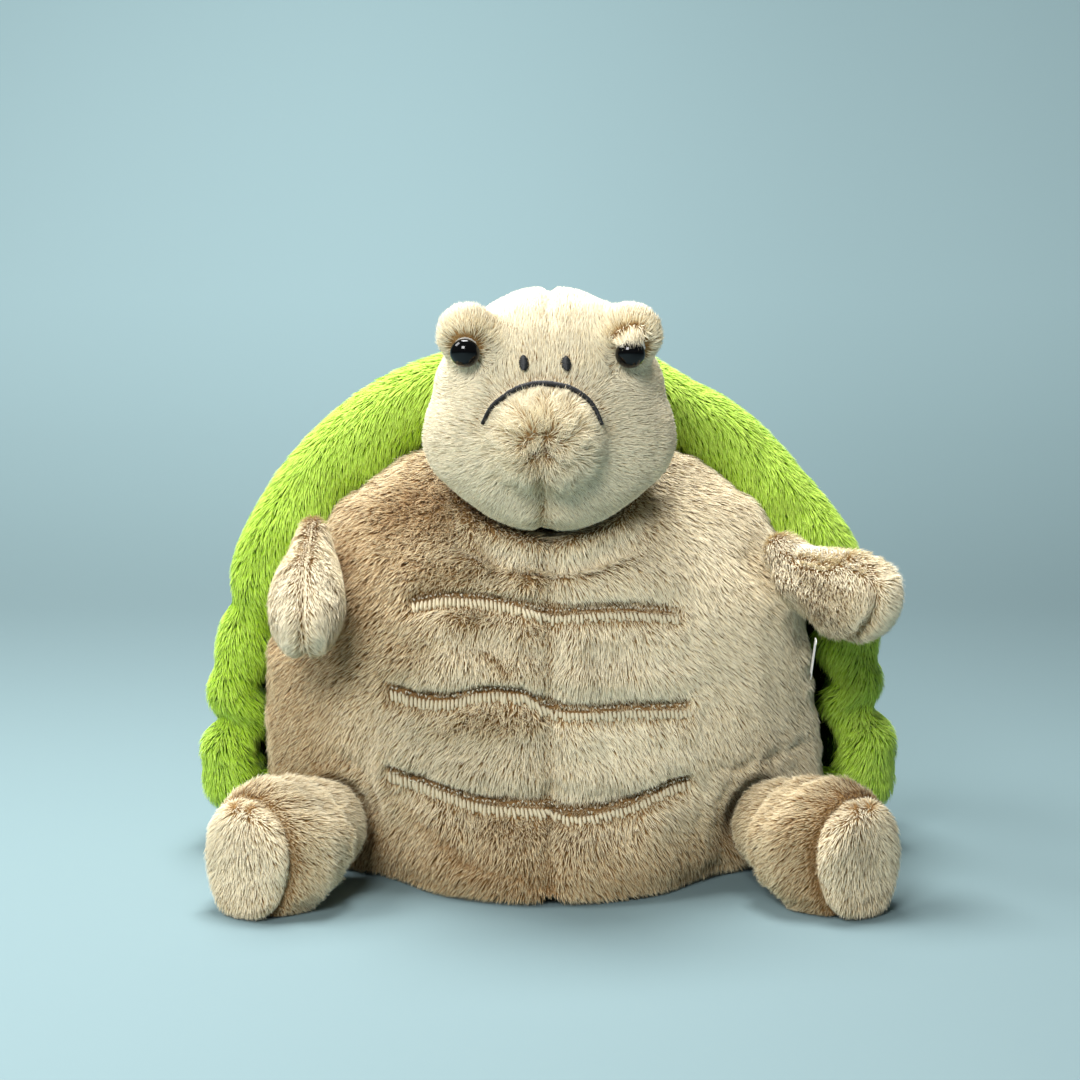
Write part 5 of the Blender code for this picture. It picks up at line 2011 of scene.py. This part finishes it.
        # The band is widest over the shoulders, where it lies on the body.
        level = self.outline(turns, 0.0)
        width = 0.025 + 0.011 * smooth_step(level[:, 2], 0.120, 0.170)
        waves = np.sin(level[:, 2] * 170 + level[:, 0] * 20)
        width = width + 0.0022 * waves * smooth_step(level[:, 2], 0.03, 0.06)
        inner = self.outline(turns, width)
        inner[:, 0] += np.sign(inner[:, 0]) * self.pinched(level) * 0.55
        squeeze = np.clip(self.pinched(level) / 0.008, 0, 1)
        rows = []
        for step in range(around + 1):
            swing = math.pi * step / around
            middle, half = (outer + inner) / 2, (outer - inner) / 2
            side = math.copysign(abs(math.cos(swing)) ** (2 / 2.3), math.cos(swing))
            forward = math.sin(swing) ** (2 / 2.3)
            ring = middle + half * side
            ring[:, 1] = self.start - (self.rim_depth - self.depth) * (1 - 0.40 * squeeze) * forward
            rows.append(ring)
        points, faces = self.grid(rows, False)
        core = np.tile((outer + inner) / 2, (around + 1, 1))
        core[:, 1] = self.start
        faces = self.facing_out(points, faces, points - core)
        across = np.repeat(np.arange(around + 1) / around, count)
        held = np.clip((across < 0.03) * 1.0 + (across > 0.97), 0, 1)
        skin = puffed(bare(points, faces), held, 0.0025, 0.06)
        points, facing = skin.points, skin.facing
        x, _, z = points.T
        toward = np.array([0.0, 0.0, self.middle + 0.03]) - points
        toward[:, 1] = 0.0
        toward = unit(toward)
        inner_side = smooth_step(across, 0.45, 0.70)
        # The pile is brushed down along the band, outwards at its edge and inwards beside the body.
        ahead = np.tile(unit(np.roll(outer, -1, axis=0) - np.roll(outer, 1, axis=0)), (around + 1, 1))
        ahead = ahead * -np.sign(ahead[:, 2:3] + 1e-9)
        toward = ahead * 0.9 + toward * (1.1 * smooth_step(across, 0.10, 0.45) - 0.45)[:, None]
        toward[:, 2] -= 0.35
        strength = 2.1 - 0.5 * inner_side
        comb = tangent(toward, facing, strength)
        pile = self.pile * (0.85 + 0.20 * inner_side)
        # The band is paler at its outer edge and darker on its inner side, partly from its pile and partly as
        # painted light and shade.
        tint = 0.42 - 0.40 * inner_side + 0.30 * (1 - smooth_step(across, 0.06, 0.26))
        # Painted light on the band's top; painted shade at its innermost edge, in the fold beside the head
        # and on the toy's right.
        tint += 0.16 * smooth_step(z, 0.16, 0.23) * (1 - inner_side)
        tint -= 0.35 * smooth_step(across, 0.75, 0.95)
        tint -= 0.40 * dip(spot_gap(points, -0.060, 0.197), 0.014) * inner_side
        tint += 0.14 * smooth_step(x, 0.10, 0.14) * (1 - smooth_step(z, 0.09, 0.12))
        tint -= 0.26 * smooth_step(-x, 0.10, 0.14)
        wild = 0.65 + 0.45 * inner_side
        low = smooth_step(z, 0.001, 0.006)
        under = (np.abs(x) < 0.115) & (z < 0.06)
        cover = low * np.where(under, 0.05, 1.0)
        skin = Skin(points, faces, facing, comb, pile, cover, tint, wild)
        made = dresser.dress("shell_rim_band", skin, self.rim_fabric, Body.TORSO, "shell_rim")

    def build_lining(self, dresser: "Dresser") -> None:
        """The darker lining inside the rim, mostly hidden behind the body.

        Args:
            dresser: what grows their pile.
        """
        points, faces = self.dome(self.lining_inset, self.lining_back, 110, 22)
        faces = self.facing_out(points, faces, np.array([0.0, 0.0, self.pole]) - points)
        facing = corner_facing(points, faces)
        count = len(points)
        comb = tangent(np.tile((0.0, -0.6, -1.0), (count, 1)), facing, 1.3)
        edge = 1 - smooth_step(points[:, 1], 0.022, 0.034)
        pile, tint = np.full(count, self.lining_pile), np.full(count, 0.1)
        skin = Skin(points, faces, facing, comb, pile, edge, tint, np.ones(count))
        dresser.dress("shell_lining_cloth", skin, self.lining, Body.TORSO, "shell_lining")


# Eyes, embroidery, stitches, stuffing


@dataclass
class Details:
    """The hard and sewn details of the head and body, and the fillings.

    Attributes:
        head, torso, legs, shell: the forms that they belong to.
        face, belly: the skins that they are laid on.
        DRAWN, DRAWN_LIMB: how far each filling, or a limb's, is drawn in under its skin.
        THREAD: width of an embroidery thread.
    """

    DRAWN: ClassVar[dict[str, float]] = {
        "body_stuffing": 0.0125, "head_stuffing": 0.0110, "shell_stuffing": 0.0065,
    }
    DRAWN_LIMB: ClassVar[float] = 0.0050
    THREAD: ClassVar[float] = 0.00034
    head: Head
    torso: Torso
    legs: dict[str, Leg]
    shell: Shell
    face: Skin
    belly: Skin

    def build(self) -> None:
        """Makes the eyes, their washers, the embroidery, the stitches and the stuffing."""
        eye, nylon, filling = EYE_ABS.material(), NYLON.material(), FILLING.material()
        for label, side in (("left", 1), ("right", -1)):
            self.eye(label, side, eye)
            washer = frame["nodes"][f"eye_washer_{label}"]
            washer.data.materials.clear()
            washer.data.materials.append(nylon)
        rows = RepeatTree()
        self.mouth(rows, BLACK_THREAD.material())
        self.tuck_rows(rows)
        self.ribbon(RIBBON.material())
        for node, body in (
            ("body_stuffing", Body.TORSO), ("shell_stuffing", Body.TORSO), ("head_stuffing", Body.HEAD),
            ("arm_left_stuffing", Body.ARM_LEFT), ("arm_right_stuffing", Body.ARM_RIGHT),
            ("leg_left_stuffing", Body.LEG_LEFT), ("leg_right_stuffing", Body.LEG_RIGHT),
        ):
            self.filling(node, body, filling)

    def mouth(self, rows: RepeatTree, black: Material) -> None:
        """The mouth and nostrils in satin stitch: threads laid side by side across each line.

        Args:
            rows: the tree that repeats the stitch.
            black: the thread.
        """
        surface = Surface(self.face)
        line = walk(np.array(self.head.mouth), self.THREAD)
        share = np.linspace(0, 1, len(line))
        wide = 0.0011 + 0.0015 * np.sin(math.pi * np.clip(share * 0.96 + 0.04, 0, 1)) ** 0.7
        self.satin("mouth_embroidery", rows, black, surface, line, wide, 0.0027, 0.0013)
        for label, (x, z) in zip(("right", "left"), self.head.nostrils):
            upright = walk(np.array([(x, z - 0.0030), (x, z + 0.0030)]), self.THREAD)
            level = (upright[:, 1] - z) / 0.0032
            wide = 0.0040 * np.sqrt(np.maximum(1 - level**2, 0.05))
            self.satin(f"nostril_{label}", rows, black, surface, upright, wide, 0.0024, 0.0012)

    @staticmethod
    def satin(
        name: str, rows: RepeatTree, material: Material, surface: Surface, line: Array, wide: Array,
        lift: float, high: float,
    ) -> None:
        """One line of satin stitch.

        Args:
            name: the piece's name.
            rows: the tree that repeats the stitch.
            material: the thread.
            surface: the skin that it is sewn through.
            line: X and Z of each stitch.
            wide: length of each stitch across the line.
            lift: how far above the skin it lies.
            high: height of each stitch.
        """
        places, facing = surface.front(line, lift)
        ahead = np.gradient(places, axis=0)
        across = unit(np.cross(facing, unit(ahead)) + 0.25 * unit(ahead))
        ragged = 1 + 0.10 * np.sin(np.arange(len(line)) * 2.4) + 0.05 * np.sin(np.arange(len(line)) * 5.1)
        size = np.stack([wide * ragged, np.full(len(line), 0.00052), np.full(len(line), high)], axis=1)
        made = rows.repeat(name, thread_loop(), places, across, facing, size, material)
        hang(made, Body.HEAD, Slot.CREAM)
        LOG.info("%s: %d stitches", name, len(line))

    def tuck_rows(self, rows: RepeatTree) -> None:
        """The small stitches along each tuck, and the ribs that the cloth gathers into below them.

        Args:
            rows: the tree that repeats stitches and ribs.
        """
        surface = Surface(self.belly)
        thread, gathered = CREAM_THREAD.material(), GATHERED.material()
        for number, tuck in enumerate(self.torso.tucks):
            line = walk(np.array(tuck), 0.0019)
            line[:, 1] -= 0.0004
            places, facing = surface.front(line, 0.0022)
            ahead = unit(np.gradient(places, axis=0))
            turn = np.where(np.arange(len(line)) % 2, 1, -1)[:, None]
            tilt = unit(ahead + 0.8 * np.cross(facing, ahead) * turn)
            size = np.tile((0.0011, 0.00050, 0.0009), (len(line), 1))
            made = rows.repeat(f"tuck_stitches_{number}", thread_loop(), places, tilt, facing, size, thread)
            hang(made, Body.TORSO, Slot.CREAM)
            line = walk(np.array(tuck), 0.0018)
            wobble = np.sin(np.arange(len(line)) * 1.9) + 0.5 * np.sin(np.arange(len(line)) * 4.3)
            line[:, 1] -= 0.0036 + 0.0003 * wobble
            places, facing = surface.front(line, 0.0009)
            down = unit(np.tile((0.12, 0.0, -1.0), (len(line), 1)))
            down = unit(down - facing * np.sum(down * facing, axis=1, keepdims=True))
            # The half on the toy's left is drawn in less, so its ribs are lower.
            slack = smooth_step(line[:, 0], -0.004, 0.004)
            long = 0.0050 + 0.0008 * wobble - 0.0010 * slack
            size = np.stack([long, 0.00158 - 0.0001 * wobble, 0.00125 - 0.0004 * slack], axis=1)
            made = rows.repeat(f"tuck_ribs_{number}", soft_rib(), places, down, facing, size, gathered)
            hang(made, Body.TORSO, Slot.CREAM)
            LOG.info("tuck %d: %d ribs", number, len(line))

    def ribbon(self, material: Material) -> None:
        """The folded ribbon, with nothing on it, that is sewn into the side under the toy's left arm.

        Args:
            material: the ribbon's finish.
        """
        root = Vector((0.1180, -0.0400, 0.0975))
        out = Vector((-0.105, -1.0, 0.0)).normalized()
        thick, tall, long, steps = 0.0003, 0.0155, 0.0100, 10
        flat = Vector((out.y, -out.x, 0)).normalized()
        rings = []
        for step in range(steps + 1):
            share = step / steps
            sway = Vector((0.0005 * math.sin(share * 2.6), 0, -0.0016 * share * share))
            middle = root + out * (long * share) + sway
            width = thick * (1.0 + 0.5 * math.sin(math.pi * min(share * 1.05, 1.0)))
            rings.append([
                middle + flat * (width * a) + Vector((0.13 * tall * b, 0, tall * b))
                for a, b in ((-0.5, -0.5), (0.5, -0.5), (0.5, 0.5), (-0.5, 0.5))
            ])
        made = add_object("side_ribbon", lofted("side_ribbon", rings))
        made.data.materials.append(material)
        hang(made, Body.TORSO, Slot.CREAM)
        LOG.info("side_ribbon")

    def eye(self, label: str, side: int, material: Material) -> None:
        """One safety eye: a polished dome with a rolled edge on its shank.

        Args:
            label, side: left and 1, or right and -1.
            material: the eye's finish.
        """
        place, seat = self.head.eye_frame(side)
        # The dome settles in its soft seat and looks a little further up than the seat does.
        axis = (seat + Vector((0, 0, 0.16))).normalized()
        place = place + Vector((-0.0017, -0.0002, -0.0010)) * (side > 0) - Vector((0, 0, 0.0006)) * (side < 0)
        radius, height = self.head.eye_radius + 0.0003, 0.0056
        profile = [(0.0009, -0.0055), (0.0015, -0.004), (0.0015, 0.0), (radius * 0.96, 0.0), (radius, 0.0004)]
        steps = 14
        for step in range(1, steps):
            lift = math.pi / 2 * step / steps
            profile.append((radius * math.cos(lift), 0.0004 + (height - 0.0004) * math.sin(lift)))
        sides = 48
        turn = axis.to_track_quat("Z", "Y")
        rings = [
            [
                place + turn @ Vector((out * math.cos(a), out * math.sin(a), up))
                for a in (2 * math.pi * i / sides for i in range(sides))
            ]
            for out, up in profile
        ]
        mesh = lofted(f"safety_eye_{label}", rings, place + axis * height)
        mesh.shade_smooth()
        made = add_object(f"safety_eye_{label}", mesh)
        mesh.materials.append(material)
        hang(made, Body.HEAD, Slot.EYE, f"eye_{label}")
        LOG.info("safety_eye_%s", label)

    def filling(self, node: str, body: Body, material: Material) -> None:
        """A stuffing, drawn in so that it stays under its skin.

        Args:
            node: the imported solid.
            body: the body that it moves with.
            material: the fibre.
        """
        drawn = self.DRAWN.get(node, self.DRAWN_LIMB)
        shape = bmesh.new()
        shape.from_mesh(frame["nodes"][node].data)
        bmesh.ops.remove_doubles(shape, verts=shape.verts, dist=0.00001)
        shape.normal_update()
        for corner in shape.verts:
            corner.co = corner.co - corner.normal * drawn
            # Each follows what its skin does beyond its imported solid.
            if node == "body_stuffing":
                corner.co.x -= 0.012 * max(corner.co.x - 0.08, 0.0) / 0.05
            elif node == "shell_stuffing":
                share = 1 - smooth_step(np.array([corner.co.y]), 0.016, 0.055)
                corner.co = Vector(self.shell.slumped(np.array([tuple(corner.co)]), share)[0])
            elif node in self.legs:
                corner.co = Vector(self.legs[node].turned_in(np.array([tuple(corner.co)]))[0])
        data = bpy.data.meshes.new(node.replace("stuffing", "filling"))
        shape.to_mesh(data)
        shape.free()
        data.shade_smooth()
        data.materials.append(material)
        made = add_object(data.name, data)
        hang(made, body, Slot.FIBRE, node)
        LOG.info("%s", made.name)


# Stage


@dataclass
class Studio:
    """Floor, lamps and camera.

    Attributes:
        aim: the place that the camera looks at.
        distance: from the camera to it.
        tilt_deg: how far above level the camera stands.
        focal_share: focal length as a share of the picture's width.
        shades: distance along the paper sweep and how pale the paper is drawn there, as painted light and
            shade.
    """

    aim: Place = (-0.004, 0.0, 0.1444)
    distance: float = 1.2
    tilt_deg: float = 7.0
    focal_share: float = 2607.0 / 1080.0
    shades: Line = (
        (-0.60, 0.53), (-0.10, 0.54), (0.10, 0.53), (0.45, 0.46), (0.85, 0.46), (1.25, 0.70), (1.55, 0.86),
        (2.20, 1.00),
    )

    def build(self) -> None:
        """Puts the stage in place."""
        self.camera()
        self.floor()
        self.lamps()
        bpy.context.scene.view_settings.view_transform = "Standard"

    def camera(self) -> None:
        """A long lens at the photograph's angle."""
        tilt = math.radians(self.tilt_deg)
        data = bpy.data.cameras.new("camera")
        data.sensor_width = 36.0
        data.lens = 36.0 * self.focal_share
        view = bpy.data.objects.new("camera", data)
        aim = Vector(self.aim)
        view.location = aim + Vector((0, -math.cos(tilt), math.sin(tilt))) * self.distance
        view.rotation_euler = (aim - view.location).to_track_quat("-Z", "Y").to_euler()
        bpy.context.scene.collection.objects.link(view)
        bpy.context.scene.camera = view

    def floor(self) -> None:
        """A pale blue sweep that rises behind the toy."""
        width, radius, behind, before = 6.0, 0.9, 0.75, 4.0
        profile = [(-before, 0.0), (0.0, 0.0), (behind, 0.0)]
        for step in range(1, 25):
            turn = math.pi / 2 * step / 24
            profile.append((behind + radius * math.sin(turn), radius * (1 - math.cos(turn))))
        profile.append((behind + radius, 5.0))
        points = [(side * width, y, z) for y, z in profile for side in (-1, 1)]
        faces = [(2 * i, 2 * i + 1, 2 * i + 3, 2 * i + 2) for i in range(len(profile) - 1)]
        mesh = bpy.data.meshes.new("studio sweep")
        mesh.from_pydata(points, [], faces)
        mesh.shade_smooth()
        sweep = add_object("studio_sweep", mesh)
        material, tree, shader = new_material("painted paper sweep")
        place = add_node(tree, "ShaderNodeTexCoord").outputs["Object"]
        mottle = add_node(tree, "ShaderNodeTexNoise", None, {"Vector": place, "Scale": 0.8})
        colour = add_node(
            tree, "ShaderNodeMix", {"data_type": "RGBA"},
            {"Factor": mottle.outputs["Fac"], 6: srgb("A3C0C5"), 7: srgb("ADCACF")},
        )
        # Painted light and shade darken the paper along the sweep and across it.
        shaded = self.multiplied(tree, colour.outputs[2], self.sweep_shade(tree, place))
        fill_inputs(tree, shader, {"Base Color": shaded, "Roughness": 0.9, "Specular IOR Level": 0.15})
        mesh.materials.append(material)

    @staticmethod
    def multiplied(tree: Tree, colour: Socket, shade: Socket) -> Socket:
        """A colour darkened by a shade."""
        settings = {"data_type": "RGBA", "blend_type": "MULTIPLY"}
        return add_node(tree, "ShaderNodeMix", settings, {"Factor": 1.0, 6: colour, 7: shade}).outputs[2]

    def sweep_shade(self, tree: Tree, place: Socket) -> Socket:
        """The painted light and shade on the paper: darkest where the floor meets the wall, paler up the
        wall, and darker towards the toy's left.

        Args:
            tree: the sweep's material.
            place: where on the sweep each point lies.

        Returns:
            The shade, from black to white.
        """
        split = add_node(tree, "ShaderNodeSeparateXYZ", None, {"Vector": place})
        along = add_math(tree, "ADD", split.outputs["Y"], split.outputs["Z"])
        first, last = self.shades[0][0], self.shades[-1][0]
        share = add_node(
            tree, "ShaderNodeMapRange", None, {"Value": along, "From Min": first, "From Max": last}
        )
        ramp = add_node(tree, "ShaderNodeValToRGB", None, {"Fac": share.outputs[0]})
        ramp.color_ramp.interpolation = "B_SPLINE"
        for number, (at, shade) in enumerate(self.shades):
            stop = (at - first) / (last - first)
            spot = ramp.color_ramp.elements[number] if number < 2 else ramp.color_ramp.elements.new(stop)
            spot.position = stop
            spot.color = (shade, shade, shade, 1.0)
        across = add_node(
            tree, "ShaderNodeMapRange", {"interpolation_type": "SMOOTHSTEP"},
            {"Value": split.outputs["X"], "From Min": -0.25, "From Max": 0.35, "To Min": 1.0, "To Max": 0.86},
        )
        return self.multiplied(tree, ramp.outputs["Color"], across.outputs[0])

    def lamps(self) -> None:
        """A soft lamp above the camera, a weak one at the left, one high behind the toy, and an even fill."""
        for name, place, size, power in (
            ("front lamp", (-0.36, -1.25, 0.90), 0.46, 15.5),
            ("left lamp", (-1.00, -0.10, 1.20), 0.60, 14.0),
            ("upper lamp", (-0.10, 0.25, 1.45), 0.60, 34.0),
        ):
            data = bpy.data.lights.new(name, "AREA")
            data.shape = "SQUARE"
            data.size = size
            data.energy = power
            lamp = bpy.data.objects.new(name, data)
            lamp.location = place
            lamp.rotation_euler = (Vector((0, 0, 0.13)) - Vector(place)).to_track_quat("-Z", "Y").to_euler()
            bpy.context.scene.collection.objects.link(lamp)
        world = bpy.data.worlds.new("studio air")
        bpy.context.scene.world = world
        world.use_nodes = True
        sky = world.node_tree.nodes["Background"]
        sky.inputs["Color"].default_value = srgb("F4F8FA")
        sky.inputs["Strength"].default_value = 0.13


def main() -> None:
    """Builds the toy, piece by piece, and then its stage."""
    logging.basicConfig(level=logging.INFO, format="%(name)s: %(message)s")
    for spare in [found for found in bpy.data.objects if found.name in ("Cube", "Light", "Camera")]:
        bpy.data.objects.remove(spare, do_unlink=True)
    dresser = Dresser()
    torso = Torso()
    head = Head()
    belly = torso.build(dresser)
    face = head.build(dresser)
    Arm(1, Body.ARM_LEFT, 50.0, 14.0, torso.shoulder).build(dresser)
    Arm(-1, Body.ARM_RIGHT, 90.0, 28.0, mirrored(torso.shoulder)).build(dresser)
    legs = {
        "leg_left_stuffing": Leg(1, Body.LEG_LEFT, torso.hip, 0.0035, 0.58),
        "leg_right_stuffing": Leg(-1, Body.LEG_RIGHT, mirrored(torso.hip), 0.0065, 0.24),
    }
    for leg in legs.values():
        leg.build(dresser)
    shell = Shell()
    shell.build(dresser)
    Details(head, torso, legs, shell, face, belly).build()
    Studio().build()


if __name__ == "__main__":
    main()
